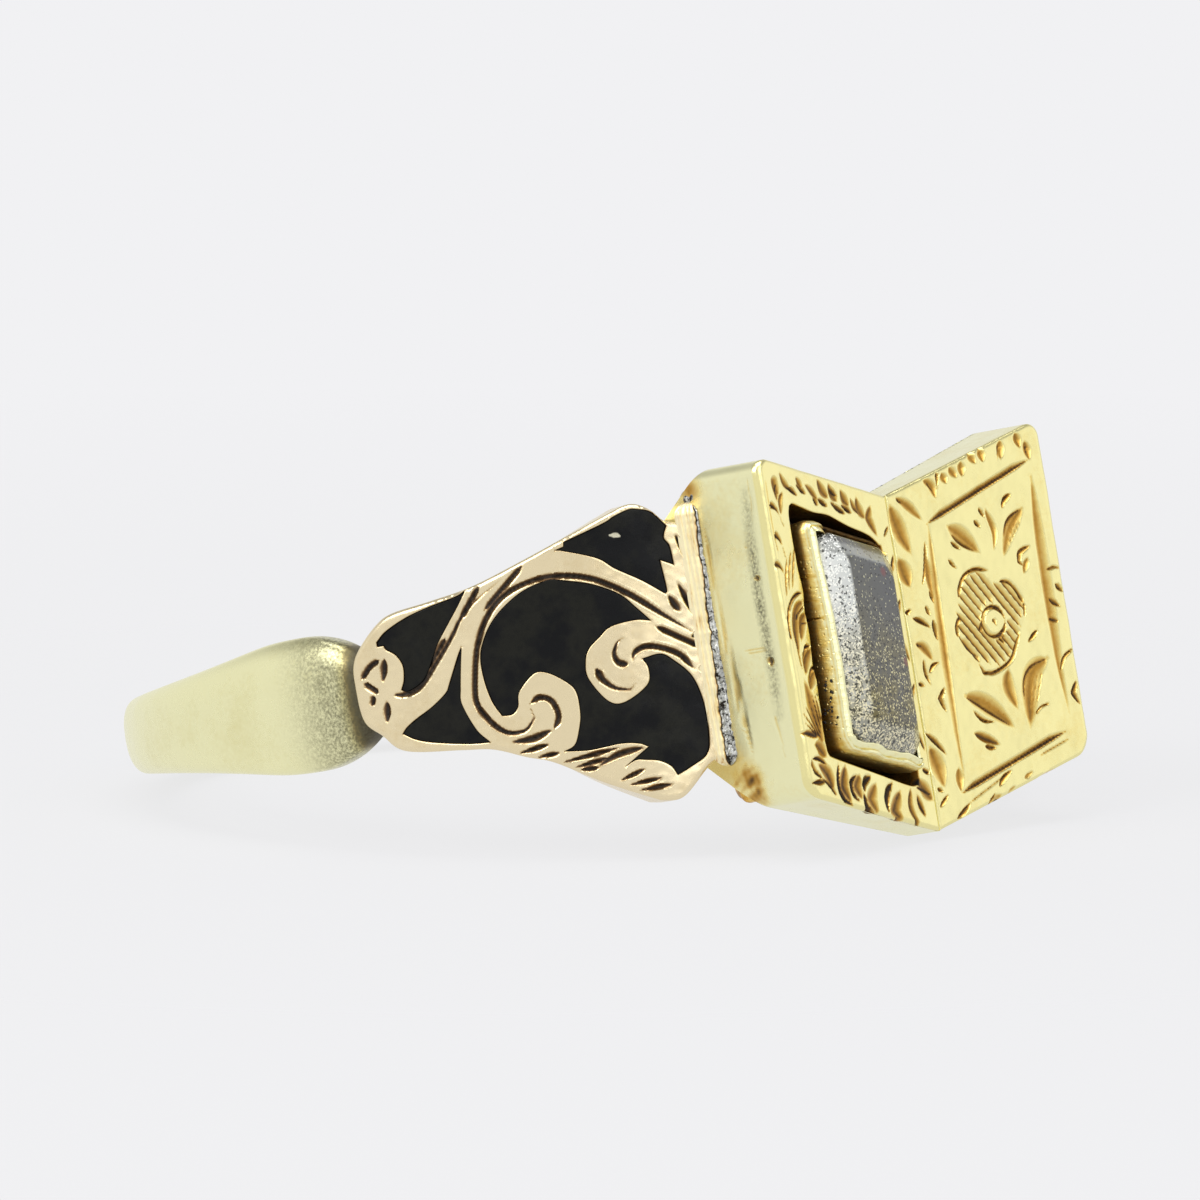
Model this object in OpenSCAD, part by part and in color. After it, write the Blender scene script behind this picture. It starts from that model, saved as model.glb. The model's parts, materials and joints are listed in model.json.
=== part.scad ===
// Mourning ring: a band with two enamelled shoulders and a head shaped as an open book.
// The left page holds a glazed compartment, the right page is plain gold for engraving.
// Origin at the centre of the finger hole; the ring lies on its side, as it comes to rest.

/* [Band] */
// Inside diameter of the ring
finger_d = 17.5; // [16:0.1:19]
// Thickness of the band
band_t = 1.2; // [0.9:0.1:1.6]
// Width of the band at its back
band_back_w = 1.7; // [1.3:0.1:2.4]
// Width of the band where the shoulders begin
band_front_w = 2.9; // [2.4:0.1:3.4]

/* [Book head] */
// Height of a page, along the finger
page_h = 7.55; // [7:0.05:9]
// Width of the open book, across the finger
book_w = 10; // [9.4:0.1:11]
// Gold between the finger and the fold of the book
fold_t = 1.55; // [1.5:0.05:2.4]
// Height of the outer edges of the pages above the fold
page_rise = 0.67; // [0.3:0.05:1.2]
// Shift of the fold along the finger, which slants the pages' ends
fold_drop = 1.24; // [0.6:0.05:1.6]
// Radius of the outer corners of the pages
page_corner_r = 0.5; // [0.2:0.05:0.8]
// Depth of the straight ends of the book, from its fold back
end_face_d = 0.95; // [0.5:0.05:1.2]
// Angle at which the back of the book tapers in behind its straight ends
back_taper = 38; // [20:1:50]

/* [Shoulders] */
// Thickness of a shoulder
shoulder_t = 1.5; // [1.3:0.1:1.9]
// Width of a shoulder where it is widest
shoulder_w = 6.6; // [5.8:0.1:7]
// Length of a shoulder, from the head to its tail
shoulder_l = 7.65; // [7.2:0.05:8]
// Angle round the ring from the fold to the middle of a shoulder
shoulder_mid = 51.5; // [50:0.5:54]
// Depth of the enamel
enamel_d = 0.4; // [0.2:0.05:0.6]
// How far the enamel lies below the metal
enamel_low = 0.04; // [0:0.01:0.1]
// Clearance round an enamel panel
enamel_gap = 0.03; // [0.02:0.01:0.06]
// Radius of the scroll's curled end near the head
curl_head_r = 0.66; // [0.5:0.02:0.75]
// Radius of the scroll's curled end near the tail
curl_tail_r = 0.68; // [0.5:0.02:0.75]

/* [Solder] */
// Width of the soldered seam between the head and a shoulder
solder_w = 0.55; // [0.4:0.05:0.8]
// Length of the soldered seam, along the finger
solder_l = 5.2; // [3:0.1:6]

/* [Glazed compartment] */
// Distance from the fold to the near edge of the window
window_in = 0.52; // [0.45:0.01:0.7]
// Width of the window, across the page
window_w = 3.6; // [3.4:0.05:3.8]
// Height of the window, along the page
window_h = 5.5; // [5:0.05:5.9]
// Depth of the window
window_d = 1; // [0.8:0.05:1.1]
// Radius of the corners of the window
window_r = 0.3; // [0.1:0.05:0.5]
// Clearance between the window and the foot of the setting
setting_gap = 0.04; // [0.02:0.01:0.1]
// Thickness of the foot of the setting
setting_foot_t = 0.2; // [0.15:0.05:0.3]
// Thickness of the wall of the setting
setting_wall_t = 0.2; // [0.15:0.05:0.25]
// Space between the setting's wall and the side of the window nearer the fold
setting_in_gap = 0.08; // [0.06:0.01:0.2]
// Space between the setting's wall and the far side of the window
setting_out_gap = 0.32; // [0.2:0.01:0.5]
// Space between the setting's wall and each end of the window
setting_end_gap = 0.17; // [0.1:0.01:0.3]
// How far the setting stands above the page
setting_proud = 0.28; // [0.1:0.02:0.5]
// Thickness of the backing under the crystal
backing_t = 0.15; // [0.1:0.05:0.25]
// Clearance round the crystal and its backing
crystal_gap = 0.04; // [0.02:0.01:0.08]
// How far the crystal's table stands above the setting
crystal_proud = 0.42; // [0.3:0.01:0.6]
// Height of the sloping facets round the crystal's table
crystal_crown = 0.3; // [0.2:0.05:0.4]
// Width of the sloping facets
crystal_facet = 0.5; // [0.3:0.02:0.6]
// Cut at the crystal's corners
crystal_corner = 0.35; // [0.2:0.05:0.5]

/* [Hidden] */
LEFT = -1;
RIGHT = 1;
finger_r = finger_d / 2;
band_r = finger_r + band_t;
shoulder_r = finger_r + shoulder_t;
fold_r = finger_r + fold_t;
page_edge_r = fold_r + page_rise;
book_half_w = book_w / 2;
page_angle = atan2(page_rise, book_half_w);
page_w = norm([book_half_w, page_rise]);
end_slope = atan2(fold_drop, book_half_w);
back_edge_r = fold_r - end_face_d;
fold_low = page_h / 2 + fold_drop;
// The ring lies on the lower end of its fold and on the back of its band
rest_tilt = atan2(fold_low - band_back_w / 2, back_edge_r + band_r);
// Reach of cuts and blocks that run past the whole ring
past = 30;
setting_in = window_in + setting_in_gap;
setting_w = window_w - setting_in_gap - setting_out_gap;
setting_h = window_h - 2 * setting_end_gap;
setting_top = window_d + setting_proud;
crystal_top = setting_top + crystal_proud;
crystal_w = setting_w - 2 * (setting_wall_t + crystal_gap);
crystal_h = setting_h - 2 * (setting_wall_t + crystal_gap);
crystal_in = setting_in + setting_wall_t + crystal_gap;
crystal_seat = setting_foot_t + backing_t;
gold = "#e6dc9c";
rose_gold = "#dfbd92";
enamel_black = "#17140f";

// Columns: share of the shoulder's length from the head, share of its half width
SHOULDER_EDGE_SHARES = [[0, 0.8], [0.08, 0.93], [0.16, 1], [0.24, 0.94], [0.35, 0.81],
    [0.53, 0.64], [0.73, 0.51], [0.92, 0.41], [0.975, 0.28], [1, 0.1]];

// Columns as above, with the half width's share positive towards the top of the page
PANEL_HEAD_SHARES = [[0.38, 0.73], [0.17, 0.92], [0.07, 0.82], [0.06, 0.55], [0.15, 0.46], [0.24, 0.58]];
PANEL_TAIL_UPPER_SHARES = [[0.92, 0.27], [0.86, 0.36], [0.65, 0.48], [0.71, 0.3], [0.78, 0.05],
    [0.83, -0.05], [0.88, -0.02], [0.86, 0.12], [0.89, 0.22]];
PANEL_TAIL_LOWER_SHARES = [[0.89, -0.3], [0.82, -0.21], [0.72, -0.03], [0.675, 0.16], [0.68, -0.15],
    [0.67, -0.27], [0.64, -0.44], [0.76, -0.4], [0.85, -0.36]];
PANEL_MAIN_SHARES = [[0.61, 0.27], [0.53, 0.46], [0.41, 0.55], [0.28, 0.48], [0.18, 0.3], [0.1, -0.06],
    [0.05, -0.36], [0.05, -0.66], [0.14, -0.85], [0.22, -0.68], [0.42, -0.61], [0.58, -0.34],
    [0.62, -0.06]];
PANEL_SHARES = [PANEL_HEAD_SHARES, PANEL_TAIL_UPPER_SHARES, PANEL_TAIL_LOWER_SHARES, PANEL_MAIN_SHARES];
// Centres of the two curled ends, and the strips of gold that join them to the border
CURL_HEAD_SHARES = [0.24, -0.08];
CURL_TAIL_SHARES = [0.46, -0.31];
NECK_HEAD_SHARES = [[0.24, 0.12], [0.1, 0.22], [0.06, -0.09], [0.24, -0.12]];
NECK_TAIL_SHARES = [[0.54, -0.3], [0.39, -0.38], [0.43, -0.7], [0.57, -0.42]];

function unit(v) = v / norm(v);
function turned(v, angle) = [v.x * cos(angle) - v.y * sin(angle), v.x * sin(angle) + v.y * cos(angle)];
function before(p, i) = p[(i + len(p) - 1) % len(p)];
function after(p, i) = p[(i + 1) % len(p)];

// An outline, run anticlockwise, moved inwards by a distance
function inset(p, by) = [for (i = [0 : len(p) - 1])
    let (u = unit(p[i] - before(p, i)), w = unit(after(p, i) - p[i]))
    p[i] + [-u.y - w.y, u.x + w.x] * by / (1 + u * w)];

// The arc that rounds one corner
function corner_arc(a, b, c, r, steps = 6) =
    let (u = unit(b - a), w = unit(c - b), turn = atan2(cross(u, w), u * w),
        inward = [-u.y, u.x] * sign(turn) * r, start = b - u * r * tan(abs(turn) / 2))
    [for (k = [0 : steps]) start + inward - turned(inward, turn * k / steps)];

// An outline with each corner rounded by the radius given for it, or left sharp at 0
function rounded(p, radii) = [for (i = [0 : len(p) - 1])
    each radii[i] == 0 ? [p[i]] : corner_arc(before(p, i), p[i], after(p, i), radii[i])];

// A slanted rectangle on a page, from its distance to the fold
function on_slant(x, a) = [x, a - fold_drop * (1 - x / page_w)];
function page_panel(x0, w, h) = [on_slant(x0, -h / 2), on_slant(x0 + w, -h / 2),
    on_slant(x0 + w, h / 2), on_slant(x0, h / 2)];

// Shares of a shoulder made into lengths round and along the finger
function shoulder_at(p) = [for (q = p) [(q.x - 0.5) * shoulder_l, q.y * shoulder_w / 2]];

module lay_down() {
    rotate([-rest_tilt, 0, 0]) children();
}

module on_side(side) {
    mirror([side == LEFT ? 1 : 0, 0, 0]) children();
}

// Flat outline stood on the finger's surface at the middle of a shoulder, growing outwards
module on_shoulder() {
    rotate([0, 0, shoulder_mid]) rotate([90, 0, 0]) children();
}

// Flat outline stood on a page, growing outwards from a depth below its surface
module on_page(depth) {
    translate([0, -fold_r, 0]) rotate([0, 0, -page_angle]) translate([0, depth, 0])
        rotate([90, 0, 0]) children();
}

module tube(r_in, r_out) {
    difference() {
        cylinder(h = past, r = r_out, center = true, $fn = 180);
        cylinder(h = past + 2, r = r_in, center = true, $fn = 180);
    }
}

module band() {
    front = fold_r;
    intersection() {
        tube(finger_r, band_r);
        rotate([0, 90, 0]) linear_extrude(past, center = true)
            polygon([[-band_back_w / 2, band_r], [band_back_w / 2, band_r],
                [band_front_w / 2 + (band_front_w - band_back_w) / 4, -front],
                [-band_front_w / 2 - (band_front_w - band_back_w) / 4, -front]]);
    }
}

module shoulder_plate() {
    edge = shoulder_at(SHOULDER_EDGE_SHARES);
    last = len(edge) - 1;
    intersection() {
        tube(finger_r, shoulder_r);
        on_shoulder() linear_extrude(past) polygon(concat(
            [for (q = edge) [q.x, -q.y]], [for (i = [0 : last]) edge[last - i]]));
    }
}

// A curled end of the gold scroll with the neck that holds it, grown by a clearance
module curl(centre, r, neck, grow) {
    translate(shoulder_at([centre])[0]) circle(r + grow, $fn = 48);
    polygon(inset(shoulder_at(neck), -grow));
}

// One enamel panel seen flat, drawn in by a clearance
module panel_flat(i, by) {
    difference() {
        polygon(inset(shoulder_at(PANEL_SHARES[i]), by));
        if (i == 3) {
            curl(CURL_HEAD_SHARES, curl_head_r, NECK_HEAD_SHARES, by);
            curl(CURL_TAIL_SHARES, curl_tail_r, NECK_TAIL_SHARES, by);
        }
    }
}

module panel_solid(i, by, r_out) {
    intersection() {
        tube(shoulder_r - enamel_d, r_out);
        on_shoulder() linear_extrude(past) panel_flat(i, by);
    }
}

module solder_seam() {
    intersection() {
        tube(finger_r, shoulder_r - enamel_low * 3);
        translate([book_half_w - solder_w / 2, -past, -solder_l / 2])
            cube([solder_w * 1.5, past, solder_l]);
    }
}

// Block that slopes the back of one page, behind one of its slanted ends
module back_cut(end) {
    intersection() {
        translate([0, -back_edge_r, end * page_h / 2 - fold_drop]) rotate([0, -end_slope, 0])
            mirror([0, 0, end < 0 ? 1 : 0]) rotate([-back_taper, 0, 0])
                translate([-past, 0, 0]) cube([past * 2, past, past]);
        translate([0, -past, -past]) cube(past * 2);
    }
}

module book_block() {
    half = page_h / 2;
    r = page_corner_r;
    outline = rounded([[book_half_w, -half], [book_half_w, half], [0, half - fold_drop],
        [-book_half_w, half], [-book_half_w, -half], [0, -half - fold_drop]], [r, r, 0, r, r, 0]);
    difference() {
        intersection() {
            rotate([90, 0, 0]) linear_extrude(past) polygon(outline);
            linear_extrude(past, center = true) polygon([[-book_half_w, 0], [-book_half_w, -page_edge_r],
                [0, -fold_r], [book_half_w, -page_edge_r], [book_half_w, 0]]);
        }
        for (side = [LEFT, RIGHT], end = [-1, 1]) on_side(side) back_cut(end);
    }
}

module window_cut() {
    r = window_r;
    on_side(LEFT) on_page(window_d) linear_extrude(past)
        polygon(rounded(page_panel(window_in, window_w, window_h), [r, r, r, r]));
}

module ring_body() {
    color(gold) lay_down() difference() {
        union() {
            band();
            book_block();
            for (side = [LEFT, RIGHT]) on_side(side) {
                shoulder_plate();
                solder_seam();
            }
        }
        cylinder(h = past, r = finger_r, center = true, $fn = 180);
        window_cut();
        for (side = [LEFT, RIGHT], i = [0 : len(PANEL_SHARES) - 1])
            on_side(side) panel_solid(i, 0, shoulder_r + band_t);
    }
}

module setting() {
    foot_r = window_r;
    wall_r = window_r;
    foot = page_panel(window_in + setting_gap, window_w - 2 * setting_gap, window_h - 2 * setting_gap);
    wall = page_panel(setting_in, setting_w, setting_h);
    inner = inset(wall, setting_wall_t);
    color(gold) lay_down() on_side(LEFT) on_page(window_d) {
        linear_extrude(setting_foot_t) polygon(rounded(foot, [foot_r, foot_r, foot_r, foot_r]));
        linear_extrude(setting_top) difference() {
            polygon(rounded(wall, [wall_r, wall_r, wall_r, wall_r]));
            polygon(inner);
        }
    }
}

// The crystal's outline with its corners cut, drawn in by a distance
function crystal_outline(by) =
    let (p = inset(page_panel(crystal_in, crystal_w, crystal_h), by), c = crystal_corner)
    [for (i = [0 : 3]) each [p[i] + unit(before(p, i) - p[i]) * c, p[i] + unit(after(p, i) - p[i]) * c]];

module crystal() {
    slice = 0.01;
    girdle = crystal_top - crystal_crown;
    color("#b9bab4") lay_down() on_side(LEFT) on_page(window_d) hull() {
        translate([0, 0, crystal_seat]) linear_extrude(girdle - crystal_seat)
            polygon(crystal_outline(0));
        translate([0, 0, crystal_top - slice]) linear_extrude(slice)
            polygon(crystal_outline(crystal_facet));
    }
}

module compartment_backing() {
    color("#8f8c80") lay_down() on_side(LEFT) on_page(window_d)
        translate([0, 0, setting_foot_t]) linear_extrude(backing_t) polygon(crystal_outline(0));
}

module enamel(side, i) {
    color(enamel_black) lay_down() on_side(side)
        panel_solid(i - 1, enamel_gap, shoulder_r - enamel_low);
}

ring_body();
setting();
crystal();
compartment_backing();
enamel(LEFT, 1);  // enamel_left_1
enamel(LEFT, 2);  // enamel_left_2
enamel(LEFT, 3);  // enamel_left_3
enamel(LEFT, 4);  // enamel_left_4
enamel(RIGHT, 1);  // enamel_right_1
enamel(RIGHT, 2);  // enamel_right_2
enamel(RIGHT, 3);  // enamel_right_3
enamel(RIGHT, 4);  // enamel_right_4
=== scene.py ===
# %% [markdown]
# # A mourning ring with an open-book head
# This lesson dresses a small gold ring. Its parts are a plain band, two shoulders with black enamel,
# and a head shaped as an open book: one page holds a glazed compartment, the other an engraved flower.
# The frame is loaded first, because every piece must lie where the solid model says.

# %% Load the frame
import json
import math

import bmesh
import bpy
import numpy as np
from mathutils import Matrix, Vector
from mathutils.geometry import delaunay_2d_cdt


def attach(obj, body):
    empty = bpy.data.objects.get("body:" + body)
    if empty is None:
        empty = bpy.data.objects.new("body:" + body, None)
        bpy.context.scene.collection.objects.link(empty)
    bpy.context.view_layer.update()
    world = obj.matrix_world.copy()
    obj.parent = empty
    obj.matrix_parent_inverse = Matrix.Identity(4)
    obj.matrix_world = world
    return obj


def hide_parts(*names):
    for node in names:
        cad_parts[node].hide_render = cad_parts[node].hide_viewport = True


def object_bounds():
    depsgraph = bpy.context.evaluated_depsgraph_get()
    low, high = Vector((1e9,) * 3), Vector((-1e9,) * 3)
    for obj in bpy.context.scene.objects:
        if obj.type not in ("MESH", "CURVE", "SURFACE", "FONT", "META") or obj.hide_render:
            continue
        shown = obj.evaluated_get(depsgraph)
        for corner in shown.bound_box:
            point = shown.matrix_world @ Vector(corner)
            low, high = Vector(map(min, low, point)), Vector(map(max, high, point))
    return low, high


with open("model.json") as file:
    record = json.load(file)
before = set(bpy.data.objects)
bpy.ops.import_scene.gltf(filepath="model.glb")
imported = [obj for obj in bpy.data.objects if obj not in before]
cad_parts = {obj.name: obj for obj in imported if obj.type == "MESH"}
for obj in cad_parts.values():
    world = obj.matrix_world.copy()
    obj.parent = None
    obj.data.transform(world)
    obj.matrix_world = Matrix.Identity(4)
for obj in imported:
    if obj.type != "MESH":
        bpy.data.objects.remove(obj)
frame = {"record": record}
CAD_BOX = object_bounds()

# %% [markdown]
# ## Sizes
# A ring is easiest to think about upright: x across the book, "out" away from the finger, and
# "along" the finger. All sizes are millimetres in that upright frame. The ring really lies on its
# side, leaning a little, so one function lays finished points down and turns them into metres.

# %% Sizes of the ring and the way it lies
FINGER_R = 8.75
BAND_R = 9.95
SHOULDER_R = 10.25
FOLD_R = 10.3
PAGE_RISE = 0.67
BOOK_HALF = 5.0
PAGE_H = 7.55
FOLD_DROP = 1.24
BACK_EDGE_R = 9.35
BACK_TAPER = math.radians(38)
SHOULDER_MID = math.radians(51.5)
PAGE_W = math.hypot(BOOK_HALF, PAGE_RISE)
PAGE_LEAN = math.atan2(PAGE_RISE, BOOK_HALF)
HOLE_AXIS = frame["record"]["mounts"][0]["axis"]
REST_TILT = math.atan2(HOLE_AXIS[1], HOLE_AXIS[2])
MM = 0.001
LEFT, RIGHT = -1, 1


def lay_down(points):
    """Upright millimetres (x, out, along) to metres in the frame."""
    x, out, along = np.asarray(points, dtype=float).T
    c, s = math.cos(REST_TILT), math.sin(REST_TILT)
    return np.stack((x, along * s - out * c, out * s + along * c), axis=1) * MM


def on_page(side, p, along, h):
    """A point p from the fold, at a height along the finger, h above the page."""
    c, s = math.cos(PAGE_LEAN), math.sin(PAGE_LEAN)
    return np.stack((side * (p * c - h * s), FOLD_R + p * s + h * c, along + 0 * p), axis=-1)


def on_shoulder(side, arc, along, h):
    """A point arc from the middle of a shoulder, positive towards its tail, h above its face."""
    angle = SHOULDER_MID + arc / SHOULDER_R
    r = SHOULDER_R + h
    return np.stack((side * r * np.sin(angle), r * np.cos(angle), along + 0 * arc), axis=-1)


def slant(p):
    """How far the book's ends drop at a distance from the fold."""
    return -FOLD_DROP * (1 - p / PAGE_W)


print("lies tilted by", round(math.degrees(REST_TILT), 2), "degrees")

# %% [markdown]
# ## Camera
# The photograph was taken from low in front of the left page. The camera's angle, distance and aim
# were fitted to the corners of the pages, so the camera comes before any piece is made.

# %% The camera at the photograph's angle
AZIMUTH, ELEVATION = -50, 7
CAMERA_FAR = 300
CAMERA_LENS = 396
AIM_RIGHT, AIM_UP = 0.96, 1.55


def show(name, data):
    """A new object in the scene."""
    thing = bpy.data.objects.new(name, data)
    bpy.context.scene.collection.objects.link(thing)
    return thing


def direction(azimuth, elevation):
    """A unit direction from degrees round the ring, 0 in front of it, and degrees above the floor."""
    a, e = math.radians(azimuth), math.radians(elevation)
    return Vector((math.sin(a) * math.cos(e), -math.cos(a) * math.cos(e), math.sin(e)))


back = direction(AZIMUTH, ELEVATION)
right = direction(AZIMUTH + 90, 0)
up = back.cross(right)
camera = show("camera", bpy.data.cameras.new("camera"))
camera.location = (back * CAMERA_FAR + right * AIM_RIGHT + up * AIM_UP) * MM
camera.rotation_euler = back.to_track_quat("Z", "Y").to_euler()
camera.data.lens = CAMERA_LENS
camera.data.sensor_width = 36
camera.data.clip_start = 0.01
bpy.context.scene.camera = camera
print("camera at", [round(v, 3) for v in camera.location])

# %% [markdown]
# ## Drawing on metal
# An engraver works from a flat drawing, and so does this script. Outlines and cuts are drawn as a
# few points, a smooth curve is run through them, and sharp corners are kept where the line turns
# quickly.

# %% Smooth lines through drawn points
CORNER = 50


def resample(path, step):
    """Points along a polyline at about an even step."""
    path = np.asarray(path, dtype=float)
    far = np.concatenate(([0], np.cumsum(np.linalg.norm(np.diff(path, axis=0), axis=1))))
    count = max(1, round(far[-1] / step))
    at = np.linspace(0, far[-1], count + 1)
    return np.stack([np.interp(at, far, path[:, k]) for k in range(path.shape[1])], axis=1)


def closed_line(loop, step):
    """Points along a closed outline's straight sides at about an even step."""
    return np.vstack([resample([a, b], step)[:-1] for a, b in zip(loop, np.roll(loop, -1, axis=0))])


def curve_run(points, step):
    """A smooth curve through points that hold no sharp corner."""
    if len(points) < 3:
        return resample(points, step)
    ends = np.vstack((2 * points[0] - points[1], points, 2 * points[-1] - points[-2]))
    t = np.linspace(0, 1, 12, endpoint=False)[:, None]
    out = []
    for a, b, c, d in zip(ends, ends[1:], ends[2:], ends[3:]):
        out.append(0.5 * (2 * b + (c - a) * t + (2 * a - 5 * b + 4 * c - d) * t**2
                          + (3 * b - a - 3 * c + d) * t**3))
    return resample(np.vstack(out + [points[-1:]]), step)


def smooth(points, step, closed=False):
    """A smooth line through drawn points, sharp where it turns by more than CORNER degrees."""
    pts = np.asarray(points, dtype=float)
    before, after = pts - np.roll(pts, 1, axis=0), np.roll(pts, -1, axis=0) - pts
    turn = np.abs(np.degrees(np.arctan2(before[:, 0] * after[:, 1] - before[:, 1] * after[:, 0],
                                        (before * after).sum(axis=1))))
    if closed:
        first = int(np.argmax(turn))
        pts = np.vstack((np.roll(pts, -first, axis=0), pts[first]))
        turn = np.append(np.roll(turn, -first), 0)
    sharp = [0] + [k for k in range(1, len(pts) - 1) if turn[k] > CORNER] + [len(pts) - 1]
    runs = [curve_run(pts[a:b + 1], step) for a, b in zip(sharp, sharp[1:])]
    return np.vstack([run[:-1] for run in runs] + ([] if closed else [runs[-1][-1:]]))


print("a test line has", len(smooth([(0, 0), (1, 0.4), (2, 0)], 0.1)), "points")

# %% [markdown]
# ## Plates
# Pages and shoulders are plates with a detailed face, rounded edges and pockets cut into them.
# A flat sheet of fine triangles is made first with Blender's constrained triangulation, which keeps
# every outline exact. Extra rows of points beside each outline take the rounding of the edge.

# %% Flat sheets with exact outlines
EDGE_ROWS = (0.05, 0.18, 0.4, 0.7, 1.05)
POCKET_ROWS = (0.35, 1.05)
# Hole rims get this negative wear value, which paints shade along the edge of each pocket.
POCKET_RIM_SHADE = -1.5


def inside(points, loop):
    """Which points lie inside a closed outline."""
    hit = np.zeros(len(points), dtype=bool)
    x, y = points[:, 0], points[:, 1]
    for (x0, y0), (x1, y1) in zip(loop, np.roll(loop, -1, axis=0)):
        if y0 == y1:
            continue
        crosses = (y0 > y) != (y1 > y)
        hit ^= crosses & (x < (x1 - x0) * (y - y0) / (y1 - y0) + x0)
    return hit


def on_sheet(points, loops):
    """Which points lie inside the first outline and outside the others."""
    keep = inside(points, loops[0])
    for hole in loops[1:]:
        keep &= ~inside(points, hole)
    return keep


def nearest(points, samples):
    """Distance from each point to the nearest sample, and that sample's number."""
    far, which = np.empty(len(points)), np.empty(len(points), dtype=int)
    for k in range(0, len(points), 4000):
        gap = ((points[k:k + 4000, None] - samples[None]) ** 2).sum(axis=2)
        which[k:k + 4000] = gap.argmin(axis=1)
        far[k:k + 4000] = np.sqrt(gap.min(axis=1))
    return far, which


def counter_clockwise(loop):
    x, y = loop[:, 0], loop[:, 1]
    area = (x * np.roll(y, -1) - np.roll(x, -1) * y).sum()
    return loop if area > 0 else loop[::-1]


def inward(loop):
    """Unit directions square to a counter-clockwise outline, pointing inside."""
    along = np.roll(loop, -1, axis=0) - np.roll(loop, 1, axis=0)
    along /= np.linalg.norm(along, axis=1)[:, None]
    return np.stack((-along[:, 1], along[:, 0]), axis=1)


def even_grid(loops, samples, radii, step):
    """Points of a triangular grid on a sheet, clear of the rounding of its outlines."""
    low, high = samples.min(axis=0), samples.max(axis=0)
    rows = np.arange(low[1], high[1], step * math.sqrt(3) / 2)
    across = np.arange(low[0], high[0], step)
    grid = np.array([(x + (k % 2) * step / 2, y) for k, y in enumerate(rows) for x in across])
    grid = grid[on_sheet(grid, loops)]
    far, which = nearest(grid, samples)
    return grid[far > radii[which] * 1.05 + step * 0.45]


def triangles_of(points, edges, loops):
    """Triangles between points that keep to the edges, on the sheet alone."""
    got = delaunay_2d_cdt([Vector(p) for p in points], edges, [], 0, 1e-7)
    source = np.array([o[0] for o in got[3]])
    triangles = source[np.array(got[2])]
    return triangles[on_sheet(points[triangles].mean(axis=1), loops)]


def sheet(outline, holes=(), step=0.035, edge_r=0.1, hole_r=0.03):
    """Fine triangles inside an outline and outside its holes.

    The answer holds the points, the triangles, the drop and the wear that rounding gives each
    point, and the numbers of the points on each outline. At a hole's rim that wear value is
    negative: there it is painted shade that darkens the pocket's edge."""
    loops = [counter_clockwise(np.asarray(loop, dtype=float)) for loop in (outline, *holes)]
    samples = np.vstack(loops)
    outer_r = np.broadcast_to(edge_r(loops[0]) if callable(edge_r) else edge_r, len(loops[0]))
    radii = np.concatenate([outer_r] + [np.full(len(loop), hole_r) for loop in loops[1:]])
    # Outer rims carry wear, which pales them; hole rims carry the negative value, which is painted shade.
    rim = np.concatenate([np.full(len(loop), POCKET_RIM_SHADE if k else 1.0) for k, loop in enumerate(loops)])
    points, drop, wear_and_rim_shade, edges, rings = [samples], [radii], [rim], [], []
    start = 0
    for number, loop in enumerate(loops):
        ring = np.arange(start, start + len(loop))
        rings.append(ring)
        edges += list(zip(ring.tolist(), np.roll(ring, -1).tolist()))
        square, r = inward(loop) * (-1 if number else 1), radii[ring]
        for share in (POCKET_ROWS if number else EDGE_ROWS):
            row = loop + square * (r * share)[:, None]
            keep = (nearest(row, samples)[0] > r * share * 0.9) & on_sheet(row, loops)
            rest = max(0, 1 - share)
            points.append(row[keep])
            drop.append((r * (1 - math.sqrt(1 - rest**2)))[keep])
            wear_and_rim_shade.append(rest * rim[ring][keep])
        start += len(loop)
    grid = even_grid(loops, samples, radii, step)
    points = np.vstack(points + [grid])
    flat = np.zeros(len(grid))
    return {"xy": points, "tris": triangles_of(points, edges, loops), "drop": np.concatenate(drop + [flat]),
            "wear_and_rim_shade": np.concatenate(wear_and_rim_shade + [flat]), "rings": rings}


test = sheet([(0, 0), (1, 0), (1, 1), (0, 1)], step=0.2)
print("a test sheet has", len(test["tris"]), "triangles")

# %% [markdown]
# ## Graver cuts
# A graver ploughs a V-shaped groove that starts thin, swells and runs out, and it throws up a faint
# burr at each side. A scoop is a broad shallow cut with a warm tint, which is painted shade with
# some tarnish. Every cut here is a drawn line with a kind, a width and a depth, so one function can
# work out how deep the metal is cut at any point, and how dark it is painted: painted shade,
# strongest on a cut's steep flank and down its middle, mixed with dirt.

# %% The depth of graver cuts
# A cut this deep, in millimetres, gets its full darkness: painted shade with dirt.
FULL_CUT_SHADE_DEEP = 0.045


def taper(kind, share):
    """How full a cut is at a share of its length, from 0 at its start to 1 at its end."""
    if kind == "line":
        return np.clip(np.minimum(share, 1 - share) / 0.14, 0.12, 1) ** 0.7
    if kind in ("leaf", "scoop"):
        return np.sin(np.pi * np.clip(share, 0.02, 0.98) ** 0.8) ** 0.8
    if kind == "wedge":
        return np.clip(share * 1.15, 0.05, 1) * np.clip((1 - share) / 0.1, 0, 1) ** 0.5
    return np.clip((1 - share) * 1.15, 0.05, 1) * np.clip(share / 0.1, 0, 1) ** 0.5


def to_path(points, path):
    """Distance of points from a path, the share of its length there, and the side (1 is left)."""
    a, b = path[:-1], path[1:]
    run = b - a
    size = (run**2).sum(axis=1) + 1e-12
    rel = points[:, None] - a[None]
    t = np.clip((rel * run[None]).sum(axis=2) / size, 0, 1)
    gap = rel - t[..., None] * run[None]
    far = (gap**2).sum(axis=2)
    best = far.argmin(axis=1)
    row = np.arange(len(points))
    share = (best + t[row, best]) / len(run)
    side = np.sign(run[best, 0] * rel[row, best, 1] - run[best, 1] * rel[row, best, 0])
    return np.sqrt(far[row, best]), share, side


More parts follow.
